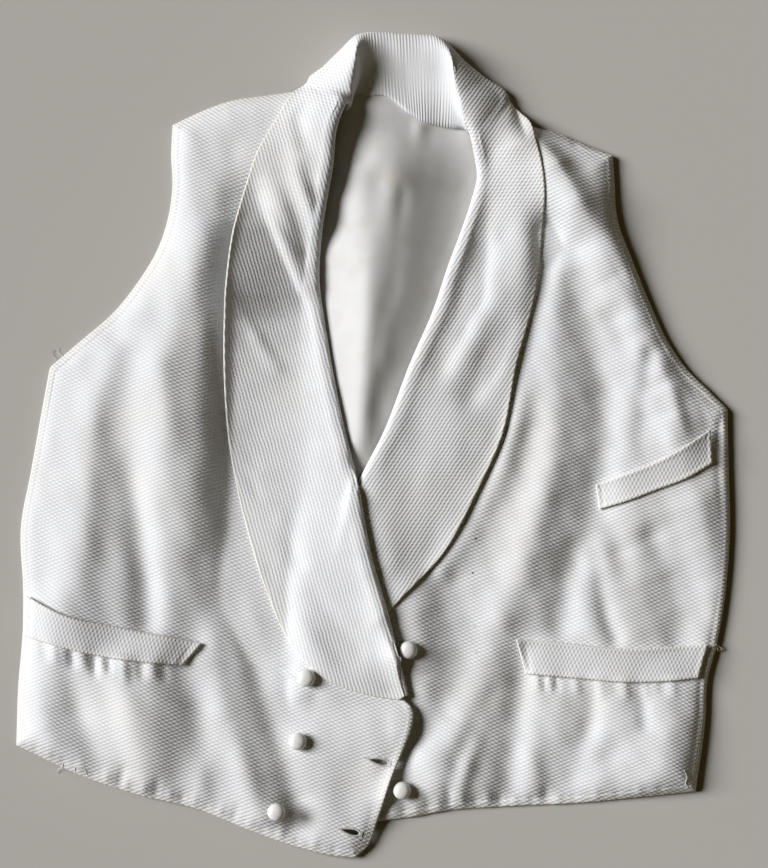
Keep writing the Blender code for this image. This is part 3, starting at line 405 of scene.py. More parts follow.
def placed(at, run, line):
    """Points at the places at of a line whose own points are at the places run."""
    return np.stack([np.interp(at, run, line[:, i]) for i in range(line.shape[1])], axis=1)


def curve(knots, parts):
    """The same line at the given shares of its length, or as that many even parts."""
    if np.isscalar(parts):
        parts = np.linspace(0, 1, parts + 1)
    fine = curve_at(knots, np.linspace(0, len(knots) - 1, 40 * len(knots)))
    run = run_along(fine)
    return placed(parts * run[-1], run, fine)


def joined(*runs):
    """Lines end to end, each next one starting at the last one's end."""
    return np.concatenate([runs[0]] + [run[1:] for run in runs[1:]])


def outline(*edges):
    """Edges joined end to end, each as (knots, parts), and in reverse where parts is below 0."""
    return joined(*[curve(knots, abs(parts))[:: 1 if parts > 0 else -1] for knots, parts in edges])


def shifted(line, by):
    """The line moved sideways, to its left for a value above 0."""
    along = np.gradient(line, axis=0)
    along /= np.linalg.norm(along, axis=1)[:, None]
    return line + by * np.stack([-along[:, 1], along[:, 0]], axis=1)


def shares(count, length):
    """Shares of a length in mm, even but for a few close steps at its ends, for a rounded edge."""
    first = np.array([0, 0.25, 0.6, 1.1, 1.8, 2.6, 3.4, 4.2, 4.7, 5.2, 5.8, 6.8]) / length
    last = 1 - first[::-1]
    middle = np.linspace(first[-1], last[0], max(count - 2 * len(first) + 3, 3))[1:-1]
    return np.concatenate([first, middle, last])


def near(xy, line):
    """Each point's distance to a line of knots, how many knots along its nearest place is, and which
    side it is on: 1 on the line's left, -1 on its right, and between them past its ends."""
    line = np.array(line, float)
    start, along = line[:-1, :2], np.diff(line[:, :2], axis=0)
    away = xy[..., None, :] - start
    part = np.clip((away * along).sum(-1) / (along**2).sum(-1), 0, 1)
    gap = np.linalg.norm(away - part[..., None] * along, axis=-1)
    turn = along[:, 0] * away[..., 1] - along[:, 1] * away[..., 0]
    best = gap.argmin(-1)[..., None]
    pick = lambda values: np.take_along_axis(values, best, -1)[..., 0]
    side = pick(turn / np.linalg.norm(along, axis=-1)) / np.maximum(pick(gap), 1e-6)
    return pick(gap), best[..., 0] + pick(part), np.clip(side, -1, 1)


def inside(xy, ring):
    """Whether each point lies in the closed ring: a ray from it crosses the ring an odd number of
    times."""
    a, b = ring, np.roll(ring, -1, axis=0)
    x, y = xy[..., 0, None], xy[..., 1, None]
    across = (a[:, 1] > y) != (b[:, 1] > y)
    rise = np.where(b[:, 1] == a[:, 1], 1, b[:, 1] - a[:, 1])
    return (across & (x < a[:, 0] + (y - a[:, 1]) / rise * (b[:, 0] - a[:, 0]))).sum(-1) % 2 == 1


def folds(xy, table):
    """The sum of soft ridges and troughs. Each has a bell-shaped section, height times
    exp(-(distance / width) squared), with its own width on either side."""
    total = np.zeros(xy.shape[:-1])
    for _, west, east, line in table:
        gap, at, side = near(xy, line)
        heights = np.interp(at, np.arange(len(line)), [knot[2] for knot in line])
        width = west + (east - west) * (side + 1) / 2
        total += heights * np.exp(-((gap / width) ** 2))
    return total


def gathers(xy, hem, table):
    """Small ridges and troughs that run up from a hem and fade out over their length."""
    lines = []
    for share, length, width, height in table:
        foot = curve(hem, np.array([share, share + 0.01]))
        along = (foot[1] - foot[0]) / np.linalg.norm(foot[1] - foot[0])
        up = np.array([-along[1], along[0]])
        up *= np.sign(up[1])
        top = foot[0] + up * length
        middle = foot[0] + up * length * 0.45
        lines.append(("gather", width, width, [(*top, 0), (*middle, height), (*foot[0], height)]))
    return folds(xy, lines)


def puckers(xy, table):
    """Small ridges and troughs that run down from a seam and fade out over their length."""
    return folds(xy, [
        ("pucker", width, width,
         [(x, y + 2, height), (x + 1, y - length / 2, height), (x + 2, y - length, 0)])
        for x, y, length, width, height in table
    ])


def slack(xy, seed, height=0.35):
    """The unevenness of soft cloth: a sum of waves of height times (length / 50) to the 0.8, each
    with its own direction and phase from the seed."""
    pick = np.random.default_rng(seed)
    total = np.zeros(xy.shape[:-1])
    for length in (95, 70, 52, 40, 31, 24, 18, 14):
        angle, phase = pick.uniform(0, math.pi), pick.uniform(0, 2 * math.pi)
        drift = 6 * np.sin(xy[..., 1] / 47 + phase)
        place = xy[..., 0] * math.cos(angle) + xy[..., 1] * math.sin(angle) + drift
        total += height * (length / 50) ** 0.8 * np.sin(2 * math.pi * place / length + phase)
    return total


def upper(a, b, soft=1.5):
    """The higher of two heights, rounded where they cross."""
    return (a + b + np.sqrt((a - b) ** 2 + soft**2)) / 2


def smooth(value, low, high):
    """0 below low, 1 above high, and a soft step between them."""
    part = np.clip((value - low) / (high - low), 0, 1)
    return part**2 * (3 - 2 * part)


def patch(inner, outer, top, bottom, u, v):
    """A grid filled in between four edge lines: inner and outer, which run down, mixed by v, and top
    and bottom, which run outward, mixed by u, less what their four corners give twice."""
    u, v = u[:, None, None], v[None, :, None]
    corners = (1 - u) * ((1 - v) * inner[0] + v * outer[0])
    corners = corners + u * ((1 - v) * inner[-1] + v * outer[-1])
    sides = (1 - v) * inner[:, None] + v * outer[:, None]
    return sides + (1 - u) * top[None] + u * bottom[None] - corners


def lifted(xy, z):
    """Points of (x, y) with their heights."""
    return np.concatenate([xy, np.asarray(z, float)[..., None]], axis=-1)


RIGHT_ROLL_LINE, LEFT_ROLL_LINE = curve(RIGHT_ROLL, 52), curve(LEFT_ROLL, 52)
RIGHT_FREE = outline((RIGHT_SHOULDER, 12), (RIGHT_ARMHOLE, 28), (RIGHT_SIDE, 24), (RIGHT_HEM, -24),
                     (RIGHT_FRONT_EDGE, -12))
LEFT_FREE = outline((LEFT_SHOULDER, 12), (LEFT_ARMHOLE, 28), (LEFT_SIDE, 24), (LEFT_HEM, -24),
                    (LEFT_FRONT_EDGE, -8))
LEFT_LAPEL_AREA = joined(curve(LEFT_LAPEL_EDGE, 26), LEFT_ROLL_LINE[::-1])
RIGHT_LAPEL_AREA = joined(curve(RIGHT_LAPEL_EDGE, 26), RIGHT_ROLL_LINE[::-1])
BACK_AREA = outline((RIGHT_SHOULDER, 12), (RIGHT_ARMHOLE, 20), (RIGHT_SIDE, 20), (BACK_HEM, 16),
                    (BACK_LEFT_SIDE, -20), (BACK_LEFT_ARMHOLE, -20), (LEFT_SHOULDER, -12))
RIGHT_EDGES = outline((RIGHT_SHOULDER, 30), (RIGHT_ARMHOLE, 60), (RIGHT_SIDE, 60), (RIGHT_HEM, -60),
                      (RIGHT_FRONT_EDGE, -40))
LEFT_EDGES = outline((LEFT_SHOULDER, 30), (LEFT_ARMHOLE, 60), (LEFT_SIDE, 60), (LEFT_HEM, -60),
                     (LEFT_FRONT_EDGE, -30))


def back_bottom(xy):
    """The back's underside: on the floor, but raised on the collar's fall by the neck."""
    gap = near(xy, BACK_NECK)[0]
    return NECK_LIFT * smooth(52 - gap, 0, 34) + np.maximum(folds(xy, BACK_FOLDS), 0)


def floor_of_fronts(xy):
    """What the fronts rest on: the back, and the floor beyond its edges."""
    gap = near(xy, BACK_AREA)[0]
    cover = np.where(inside(xy, BACK_AREA), 1, np.exp(-((gap / 9) ** 2)))
    return (back_bottom(xy) + BACK_THICK + SEAM_GAP) * cover


def puffed(xy, edge, table, puff):
    """A front's rise off what it rests on: nothing at its edges, then a soft puff with its folds."""
    gap = near(xy, edge)[0]
    rise = (puff + folds(xy, table)) * (1 - np.exp(-gap / 8))
    return upper(rise, np.full(gap.shape, 0.4), 0.8) - 0.18


def edge_relief(gap):
    """The turned edge of a panel: 0.45 mm thicker as far as its stitches, with a groove along them
    of 0.5 times exp(-(distance / 0.55) squared)."""
    turned_in = 0.45 * (1 - smooth(gap, STITCH_INSET - 0.6, STITCH_INSET + 1.6))
    return turned_in - 0.5 * np.exp(-(((gap - STITCH_INSET) / 0.55) ** 2))


def left_bottom(xy):
    """The left front's underside: its puff and folds over the back."""
    return floor_of_fronts(xy) + puffed(xy, LEFT_FREE, LEFT_FOLDS, LEFT_PUFF)


def lapel_top(bottom, edge, table, puff, lift):
    """A function for the height of a lapel's outer face at (x, y): over its front, whose underside is
    bottom, a puff of 1 - exp(-gap / 22), its folds, and a lift of 1 - gap / 54, for the gap in mm to
    its free edge. puff and lift are (y, height) pairs."""
    def height(xy):
        """The height of the face at each (x, y)."""
        gap = near(xy, curve(edge, 40))[0]
        full = np.interp(xy[..., 1], *zip(*puff)) * (1 - np.exp(-gap / 22))
        full = full + folds(xy, table) * (1 - np.exp(-gap / 9))
        curl = np.interp(xy[..., 1], *zip(*lift)) * np.clip(1 - gap / 54, 0, 1)
        rise = upper(full, np.full(gap.shape, 0.1), 0.6) + curl
        return bottom(xy) + FRONT_THICK + SEAM_GAP + COLLAR_SHOWN + rise

    return height


def height_map(*pieces, spread=(1, 1)):
    """The highest point of the given points in each cell of a plan grid, and -1 where there is
    nothing. It is spread over its neighbours, then never lower than its own mean over each reach in
    spread, counted in cells, as a cloth that hangs over bumps is."""
    top = np.full(MAP_SIZE, -1.0)
    for points in pieces:
        points = points.reshape(-1, 3)
        cell = ((points[:, :2] - MAP_CORNER) / CELL).astype(int)
        np.maximum.at(top, (cell[:, 0], cell[:, 1]), points[:, 2])
    for _ in range(2):
        wide = np.pad(top, 1, constant_values=-1.0)
        top = np.max([wide[i : i + MAP_SIZE[0], j : j + MAP_SIZE[1]]
                      for i in range(3) for j in range(3)], axis=0)
    for reach in spread:
        for axis in (0, 1):
            wide = np.cumsum(np.pad(top, [(reach + 1, reach) if i == axis else (0, 0) for i in (0, 1)],
                                    mode="edge"), axis=axis)
            span = 2 * reach + 1
            ends = np.take(wide, range(span, wide.shape[axis]), axis=axis)
            starts = np.take(wide, range(0, wide.shape[axis] - span), axis=axis)
            top = np.maximum(top, (ends - starts) / span)
    return top


def over(xy, top):
    """The heights of a height map at each (x, y), mixed from the four cells round it."""
    place = (xy - MAP_CORNER) / CELL - 0.5
    cell = np.clip(place.astype(int), 0, np.array(top.shape) - 2)
    f = np.clip(place - cell, 0, 1)
    i, j = cell[..., 0], cell[..., 1]
    return (
        (1 - f[..., 0]) * ((1 - f[..., 1]) * top[i, j] + f[..., 1] * top[i, j + 1])
        + f[..., 0] * ((1 - f[..., 1]) * top[i + 1, j] + f[..., 1] * top[i + 1, j + 1])
    )


def linear(colour):
    """An sRGB hex colour as linear red, green, blue and alpha."""
    parts = [int(colour[i : i + 2], 16) / 255 for i in (0, 2, 4)]
    return (*[c / 12.92 if c <= 0.04045 else ((c + 0.055) / 1.055) ** 2.4 for c in parts], 1.0)


def node(tree, kind, links=(), **settings):
    """Adds one node. Settings name its properties or inputs, and links are (input, output socket)."""
    made = tree.nodes.new(kind)
    for name, value in settings.items():
        label = name.replace("_", " ")
        if hasattr(made, name):
            setattr(made, name, value)
        elif name[:2] == "in" and name[2:].isdigit():
            made.inputs[int(name[2:])].default_value = value
        else:
            made.inputs[label].default_value = value
    for name, output in links:
        tree.links.new(made.inputs[name], output)
    return made


def finish_of(name, roughness):
    """A new material with its Principled shader."""
    made = bpy.data.materials.new(name)
    made.use_nodes = True
    shader = made.node_tree.nodes["Principled BSDF"]
    shader.inputs["Roughness"].default_value = roughness
    return made, made.node_tree, shader


def ramp(tree, source, *stops):
    """A colour ramp over a value, from (place, hex colour) stops."""
    made = node(tree, "ShaderNodeValToRGB", [("Fac", source)])
    band = made.color_ramp
    while len(band.elements) < len(stops):
        band.elements.new(0.5)
    for element, (place, colour) in zip(band.elements, stops):
        element.position, element.color = place, linear(colour)
    return made.outputs["Color"]


def pique(name, bump=0.00020, spots=()):
    """Marcella cotton, woven white with raised staggered diamonds 5.3 by 2.8 mm. It reads as matt
    and soft, with fine light and dark dots wherever the light rakes, and a warm tone at its edges."""
    made, tree, shader = finish_of(name, 0.86)
    shader.inputs["Sheen Weight"].default_value = 0.12
    shader.inputs["Sheen Roughness"].default_value = 0.5
    shader.inputs["Specular IOR Level"].default_value = 0.3
    plan = node(tree, "ShaderNodeUVMap", uv_map="weave")
    place = node(tree, "ShaderNodeTexCoord")
    wander = node(tree, "ShaderNodeTexNoise", [("Vector", plan.outputs["UV"])], Scale=0.09, Detail=2.0)
    sway = node(tree, "ShaderNodeVectorMath", [("Vector", wander.outputs["Color"])],
                operation="MULTIPLY_ADD", in1=(1.6, 1.6, 0), in2=(-0.8, -0.8, 0))
    moved = node(tree, "ShaderNodeVectorMath", [(0, plan.outputs["UV"]), (1, sway.outputs["Vector"])],
                 operation="ADD")
    axes = node(tree, "ShaderNodeSeparateXYZ", [("Vector", moved.outputs["Vector"])])
    waves = []
    for axis, spacing in (("X", RIDGE_SPACING), ("Y", ROW_SPACING)):
        turn = node(tree, "ShaderNodeMath", [(0, axes.outputs[axis])], operation="MULTIPLY",
                    in1=2 * math.pi / spacing)
        waves.append(node(tree, "ShaderNodeMath", [(0, turn.outputs[0])], operation="COSINE"))
    diamonds = node(tree, "ShaderNodeMath", [(0, waves[0].outputs[0]), (1, waves[1].outputs[0])],
                    operation="MULTIPLY")
    threads = node(tree, "ShaderNodeTexNoise", [("Vector", plan.outputs["UV"])], Scale=1.6, Detail=2.0)
    relief = node(tree, "ShaderNodeMath", [(0, threads.outputs["Fac"]), (2, diamonds.outputs[0])],
                  operation="MULTIPLY_ADD", in1=0.5)
    raised = node(tree, "ShaderNodeBump", [("Height", relief.outputs[0])], Strength=1.0, Distance=bump)
    tree.links.new(shader.inputs["Normal"], raised.outputs["Normal"])
    cloud = node(tree, "ShaderNodeTexNoise", [("Vector", place.outputs["Object"])], Scale=14.0, Detail=3.0)
    tone = ramp(tree, cloud.outputs["Fac"], (0.3, "E4E5E6"), (0.55, "E8E9E9"), (0.75, "E6E5E2"))
    pit = node(tree, "ShaderNodeMapRange", [("Value", diamonds.outputs[0])], From_Min=-1.0, From_Max=0.4,
               To_Min=0.89, To_Max=1.0)
    sunk = node(tree, "ShaderNodeMix", [(6, tone), (7, pit.outputs[0])], data_type="RGBA",
                blend_type="MULTIPLY", in0=1.0)
    edge = node(tree, "ShaderNodeAttribute", attribute_name="edge")
    warm = node(tree, "ShaderNodeMix", [(0, edge.outputs["Fac"]), (6, sunk.outputs[2])],
                data_type="RGBA", in7=linear("E9E2CF"))
    colour = warm.outputs[2]
    for x, y, radius, strength in spots:
        spot = node(tree, "ShaderNodeVectorMath", [(0, place.outputs["Object"])], operation="SUBTRACT",
                    in1=(x * MM, y * MM, 0))
        flat = node(tree, "ShaderNodeVectorMath", [(0, spot.outputs["Vector"])], operation="MULTIPLY",
                    in1=(1, 1, 0))
        away = node(tree, "ShaderNodeVectorMath", [(0, flat.outputs["Vector"])], operation="LENGTH")
        mark = node(tree, "ShaderNodeMapRange", [("Value", away.outputs["Value"])],
                    interpolation_type="SMOOTHSTEP", From_Min=radius * MM * 0.4, From_Max=radius * MM,
                    To_Min=strength, To_Max=0.0)
        stain = node(tree, "ShaderNodeMix", [(0, mark.outputs[0]), (6, colour)], data_type="RGBA",
                     in7=linear("4A3426"))
        colour = stain.outputs[2]
    tree.links.new(shader.inputs["Base Color"], colour)
    return made


def plain_cotton(name):
    """Glazed plain-weave cotton, smooth and close, its threads 0.9 mm apart so that they show. It
    reads as a flat white with a soft gloss."""
    made, tree, shader = finish_of(name, 0.6)
    shader.inputs["Sheen Weight"].default_value = 0.08
    place = node(tree, "ShaderNodeUVMap", uv_map="weave")
    axes = node(tree, "ShaderNodeSeparateXYZ", [("Vector", place.outputs["UV"])])
    waves = []
    for axis in "XY":
        turn = node(tree, "ShaderNodeMath", [(0, axes.outputs[axis])], operation="MULTIPLY",
                    in1=2 * math.pi / LINING_SPACING)
        waves.append(node(tree, "ShaderNodeMath", [(0, turn.outputs[0])], operation="SINE"))
    checks = node(tree, "ShaderNodeMath", [(0, waves[0].outputs[0]), (1, waves[1].outputs[0])],
                  operation="MULTIPLY")
    raised = node(tree, "ShaderNodeBump", [("Height", checks.outputs[0])], Strength=0.5, Distance=0.00005)
    tree.links.new(shader.inputs["Normal"], raised.outputs["Normal"])
    cloud = node(tree, "ShaderNodeTexNoise", [("Vector", place.outputs["UV"])], Scale=0.03, Detail=4.0)
    tone = ramp(tree, cloud.outputs["Fac"], (0.3, "CECDC9"), (0.5, "D3D3D1"), (0.72, "C9C5BB"))
    tree.links.new(shader.inputs["Base Color"], tone)
    return made


def thread(name, light, dark):
    """Cotton sewing thread, two plies twisted: matt, and a little warmer than the cloth. Its two tones
    make short fine dashes, as the twist does."""
    made, tree, shader = finish_of(name, 0.8)
    shader.inputs["Sheen Weight"].default_value = 0.2
    place = node(tree, "ShaderNodeTexCoord")
    twist = node(tree, "ShaderNodeTexNoise", [("Vector", place.outputs["Object"])], Scale=900.0, Detail=1.0)
    tone = ramp(tree, twist.outputs["Fac"], (0.35, dark), (0.65, light))
    tree.links.new(shader.inputs["Base Color"], tone)
    return made


def milk_glass(name):
    """Pressed white glass, slightly cloudy and a little uneven. It gives each button a soft highlight
    that the matt cloth doesn't have."""
    made, tree, shader = finish_of(name, 0.38)
    shader.inputs["IOR"].default_value = 1.5
    place = node(tree, "ShaderNodeTexCoord")
    cloud = node(tree, "ShaderNodeTexNoise", [("Vector", place.outputs["Object"])], Scale=220.0, Detail=3.0)
    tone = ramp(tree, cloud.outputs["Fac"], (0.3, "E4E2DC"), (0.6, "EDECE8"), (0.8, "E8E5DC"))
    tree.links.new(shader.inputs["Base Color"], tone)
    soft = node(tree, "ShaderNodeBump", [("Height", cloud.outputs["Fac"])], Strength=0.3, Distance=0.00008)
    tree.links.new(shader.inputs["Normal"], soft.outputs["Normal"])
    return made


def both(values):
    """A grid's values for all points of its shell: the upper face's, then the lower one's."""
    flat = values.reshape(-1, *values.shape[2:])
    return np.concatenate([flat, flat])


def tube_quads(rings, around):
    """Quads of a tube: so many rings of so many points each, with open ends."""
    index = np.arange(rings * around).reshape(rings, around)
    beside = np.roll(index, -1, axis=1)
    return np.stack([index[:-1], beside[:-1], beside[1:], index[1:]], -1).reshape(-1, 4)


def shell(upper_face, lower_face):
    """Points and outward quads of the closed wall between two grids of the same shape."""
    rows, columns = upper_face.shape[:2]
    points = np.concatenate([upper_face.reshape(-1, 3), lower_face.reshape(-1, 3)])
    index, lower = np.arange(rows * columns).reshape(rows, columns), rows * columns
    quads = np.stack([index[:-1, :-1], index[1:, :-1], index[1:, 1:], index[:-1, 1:]], -1).reshape(-1, 4)
    rim = np.concatenate([index[:-1, 0], index[-1, :-1], index[:0:-1, -1], index[0, :0:-1]])
    after = np.roll(rim, -1)
    sides = np.stack([after, rim, rim + lower, after + lower], -1)
    faces = np.concatenate([quads, (lower + quads)[:, ::-1], sides])
    a, b, c, d = (points[faces[:, i]] for i in range(4))
    volume = (a * np.cross(b, c)).sum() + (a * np.cross(c, d)).sum()
    return points, faces[:, ::-1] if volume < 0 else faces


def piece(name, points, faces, look, plan=None, edge=None):
    """A smooth mesh of these points in mm. plan gives each point's place on the cloth in mm, for the
    weave, or each face corner's, and edge how warm a point's tone is at a turned edge, from 0 to 1."""
    mesh = bpy.data.meshes.new(name + "_shown")
    faces = np.asarray(faces)
    mesh.vertices.add(len(points))
    mesh.vertices.foreach_set("co", ((points - ORIGIN) * MM).ravel())
    mesh.loops.add(faces.size)
    mesh.loops.foreach_set("vertex_index", faces.ravel())
    mesh.polygons.add(len(faces))
    mesh.polygons.foreach_set("loop_start", np.arange(0, faces.size, faces.shape[1]))
    mesh.polygons.foreach_set("use_smooth", np.ones(len(faces), bool))
    mesh.update(calc_edges=True)
    if plan is not None:
        corners = plan[faces] if plan.ndim == 2 else plan
        mesh.uv_layers.new(name="weave").data.foreach_set("uv", corners.ravel())
    if edge is not None:
        mesh.attributes.new("edge", "FLOAT", "POINT").data.foreach_set("value", edge)
    mesh.validate()
    mesh.materials.append(look)
    made = bpy.data.objects.new(name + "_shown", mesh)
    bpy.context.scene.collection.objects.link(made)
    return made


def creased(item, ends):
    """Marks the edges between the given points as sharp, so that the shading stops there."""
    pairs = np.empty(2 * len(item.data.edges), int)
    item.data.edges.foreach_get("vertices", pairs)
    sharp = item.data.attributes.new("sharp_edge", "BOOLEAN", "EDGE")
    sharp.data.foreach_set("value", ends[pairs.reshape(-1, 2)].all(axis=1))


def woven(xy, name):
    """Places on the cloth of a piece, in mm: (x, y) turned by the angle that the piece's rows have."""
    cosine, sine = math.cos(math.radians(GRAIN[name])), math.sin(math.radians(GRAIN[name]))
    x, y = xy[..., 0], xy[..., 1]
    return np.stack([x * cosine + y * sine, y * cosine - x * sine], -1)


def edge_tone(gap, first, last, most=0.3):
    """How warm the tone is at a turned edge: most as far as first, and nothing beyond last, in mm."""
    return both(most * (1 - smooth(gap, first, last)))


def rounded(top, low, gap, radius=0.9):
    """A panel's two faces at its turned edge: the upper one drawn down to the middle in a quarter
    round, and the lower one up by half as much."""
    part = np.clip(gap / radius, 0, 1)
    near_edge = 0.5 + 0.5 * np.sqrt(1 - (1 - part) ** 2)
    middle = (top + low) / 2
    return middle + (top - middle) * (2 * near_edge - 1 + 0.001), middle + (low - middle) * near_edge


# The materials. The marked cloth has two small brown spots and two fainter ones: (x, y, radius in
# mm, strength).
PIQUE = pique("marcella cotton")
MARKED = pique("marcella cotton, marked", spots=[
    (71.6, -70.7, 1.3, 0.85), (69.4, -95.2, 1.2, 0.8), (70.7, -133.3, 1.1, 0.35), (71.8, -152, 1.1, 0.35),
])
WELTED = pique("marcella cotton of the welts", bump=0.00012)
LINING = plain_cotton("glazed cotton lining")
GLASS = milk_glass("pressed white glass")
SEWING = thread("cotton sewing thread", "EBEAE5", "D6D4CC")
TAN = thread("old cotton thread", "CFC3A6", "A8997A")

shown = {}  # each CAD piece's drawn object


def side_line(armhole, side, u):
    """An armhole and the side seam below it, at the shares u of their panel's height."""
    low = u <= ARMHOLE_SHARE
    return np.concatenate([
        curve(armhole, u[low] / ARMHOLE_SHARE),
        curve(side, (u[~low] - ARMHOLE_SHARE) / (1 - ARMHOLE_SHARE)),
    ])


# The back, whose inside shows between the lapels. Its right and upper edges lie 0.6 mm inside the
# fronts' own.
down, across = shares(130, PANEL_LENGTH), shares(150, PANEL_LENGTH)
back_left = side_line(BACK_LEFT_ARMHOLE, BACK_LEFT_SIDE, down)
back_right = shifted(side_line(RIGHT_ARMHOLE, RIGHT_SIDE, down), -0.6)
back_line = joined(curve(RIGHT_SHOULDER, 40)[::-1] - (0, 0.6), curve(BACK_NECK, 60),
                   curve(LEFT_SHOULDER, 40) - (0, 0.6))
run = run_along(back_line)
back_top = placed(across * run[-1], run, back_line)
back_plan = patch(back_right, back_left, back_top, curve(BACK_HEM, across), down, across)
back_low = back_bottom(back_plan)
back_soft = 0.3 * slack(back_plan, 5) * smooth(near(back_plan, BACK_AREA)[0], 0, 20)
back_high = back_low + BACK_THICK + np.minimum(back_soft, 0.25)
points, faces = shell(lifted(back_plan, back_high), lifted(back_plan, back_low))
shown["back"] = piece("back", points, faces, LINING, both(woven(back_plan, "back")))


def front(hand, plan, low, edges, covered, gathered, puckered, hem, seed, look):
    """One front as a closed shell from its grid and the heights of its underside, smooth where its
    lapel covers it. It returns the grid of its upper face."""
    name = f"front_{hand}"
    gap = near(plan, edges)[0]
    beyond = np.where(inside(plan, covered), 0, smooth(near(plan, covered)[0], 2, 20))
    inner = smooth(gap, 0, 14) * beyond
    high = low + FRONT_THICK + edge_relief(gap) * smooth(gap, 0, 1)
    extra = gathers(plan, hem, gathered) * (0.35 + 0.65 * smooth(gap, 0, 6)) + puckers(plan, puckered)
    extra += 0.5 * slack(plan, seed) * inner
    high = high + np.maximum(extra, -0.6 * (low - floor_of_fronts(plan)) - 0.3)
    top, bottom = rounded(high, np.maximum(high - FRONT_SHOWN, 0.05), gap)
    points, faces = shell(lifted(plan, top), lifted(plan, bottom))
    shown[name] = piece(name, points, faces, look, both(woven(plan, name)), edge_tone(gap, 0.8, 6))
    return lifted(plan, top)


def front_plan(shoulder, roll, tuck, front_edge, armhole, side, hem):
    """A front's plan: under the lapel from the shoulder down its inner side, then its front edge."""
    u, v = shares(236, PANEL_LENGTH), shares(130, 200)
    low = u <= ROLL_SHARE
    under = shifted(curve(roll, np.clip(u[low] / ROLL_SHARE, 0, 1)), tuck)
    under[0] = curve(shoulder, 1)[0]
    inner = np.concatenate([under, curve(front_edge, (u[~low] - ROLL_SHARE) / (1 - ROLL_SHARE))])
    return patch(inner, side_line(armhole, side, u), curve(shoulder, v), curve(hem, v), u, v)


left_plan = front_plan(LEFT_SHOULDER, LEFT_ROLL, TUCK_UNDER_ROLL, LEFT_FRONT_EDGE, LEFT_ARMHOLE,
                       LEFT_SIDE, LEFT_HEM)
right_plan = front_plan(RIGHT_SHOULDER, RIGHT_ROLL, -TUCK_UNDER_ROLL, RIGHT_FRONT_EDGE, RIGHT_ARMHOLE,
                        RIGHT_SIDE, RIGHT_HEM)


def collar_columns():
    """Columns across the collar from 0 at its edge to 14, closer at the edge and round the roll."""
    start, end = ROLL_COLUMNS
    return np.concatenate([
        np.linspace(0, 0.35, 5)[:-1], np.linspace(0.35, start, 44)[:-1], np.linspace(start, end, 15)[:-1],
        np.linspace(end, 14, 5),
    ])


def lapel_rows(edge, roll, top_of, under_of, outward, columns):
    """The lapel's outer face: across it from its edge, round a quarter circle at the roll, and down
    towards what lies under."""
    first, last = ROLL_COLUMNS
    deep = roll + outward * TUCK_UNDER_ROLL
    crest = top_of(deep)
    under = under_of(roll) + 0.7
    radius = np.minimum(ROLL_RADIUS, 0.75 * (crest - under))[:, None]
    start = roll + outward * radius
    flat_columns = columns[columns < first]
    across = np.interp(flat_columns, np.arange(first + 1), LAPEL_ACROSS)[None, :, None]
    flat = edge[:, None] + (start - edge)[:, None] * across
    blend = smooth(flat_columns, first - 2, first)[None]
    rows = [lifted(flat, top_of(flat) * (1 - blend) + crest[:, None] * blend)]
    angle = np.radians(90 - 30 * (columns[(columns >= first) & (columns <= last)] - first))[None, :]
    place = roll[:, None] + outward[:, None] * (radius * (1 - np.cos(angle)))[..., None]
    rows.append(lifted(place, crest[:, None] - radius * (1 - np.sin(angle))))
    low = np.minimum(crest - radius[:, 0] - 0.4, under + 0.3 * (crest - radius[:, 0] - under))
    low = np.maximum(low, under - 0.1)
    part = (columns[columns > last] - last)[None, :]
    side = roll[:, None] + outward[:, None] * (1.2 * part)[..., None]
    start_z = (crest - radius[:, 0])[:, None]
    rows.append(lifted(side, start_z + (low[:, None] - start_z) * part))
    return np.concatenate(rows, axis=1)


def collar_face(stations, edge, roll, side, top_of, under_of, columns):
    """The collar's outer face: the neck stations drawn smoothly into the lapel's rows."""
    def rows_at(parts):
        """The lapel's rows at the given shares of its length from the neck."""
        fine = curve(roll, 52)
        outward = placed(parts, np.linspace(0, 1, 53), shifted(fine, side) - fine)
        return lapel_rows(curve(edge, parts), curve(roll, parts), top_of, under_of, outward, columns)

    steps = np.interp(columns, np.arange(15), SECTION_STEPS)
    seated = np.array(stations, float)
    seated[:, -1, 2] = np.maximum(back_bottom(seated[:, -1, :2]) + BACK_THICK + COLLAR_SHOWN + 0.1, 4)
    neck = np.array([curve_at(station, steps) for station in seated])
    neck[..., 2] = np.maximum(neck[..., 2], 0)
    first_rows = rows_at(np.arange(4) / LAPEL_STEPS)
    knots = np.concatenate([neck, first_rows]).reshape(len(neck) + 4, -1)
    places = np.linspace(0, len(neck) + 1, (len(neck) + 1) * STATION_ROWS + 1)
    drawn = curve_at(knots, places).reshape(len(places), -1, 3)
    drawn[..., 2] = np.maximum(drawn[..., 2], 0.02)
    close = 1 - np.array([1.9, 1.1, 0.5, 0.2, 0]) / LAPEL_LENGTH
    parts = np.concatenate([np.linspace(1 / LAPEL_STEPS, 1 - 3 / LAPEL_LENGTH, 170)[1:], close])
    return np.concatenate([drawn, rows_at(parts)])


def face_normals(face):
    """Unit normals of a collar's grid of points, all turned so that one on its lapel points up."""
    normal = np.cross(np.gradient(face, axis=0), np.gradient(face, axis=1))
    normal /= np.maximum(np.linalg.norm(normal, axis=-1), 1e-9)[..., None]
    return normal if normal[-30, 12, 2] > 0 else -normal


def unrolled(face, start):
    """Places on the cloth of a collar: the length run across it from the column start, and along it."""
    across = np.linalg.norm(np.diff(face, axis=1), axis=-1)
    s = np.concatenate([np.zeros((len(face), 1)), np.cumsum(across, axis=1)], axis=1)
    s -= s[:, start : start + 1]
    return np.stack([s, np.repeat(run_along(face[:, start])[:, None], face.shape[1], axis=1)], -1)


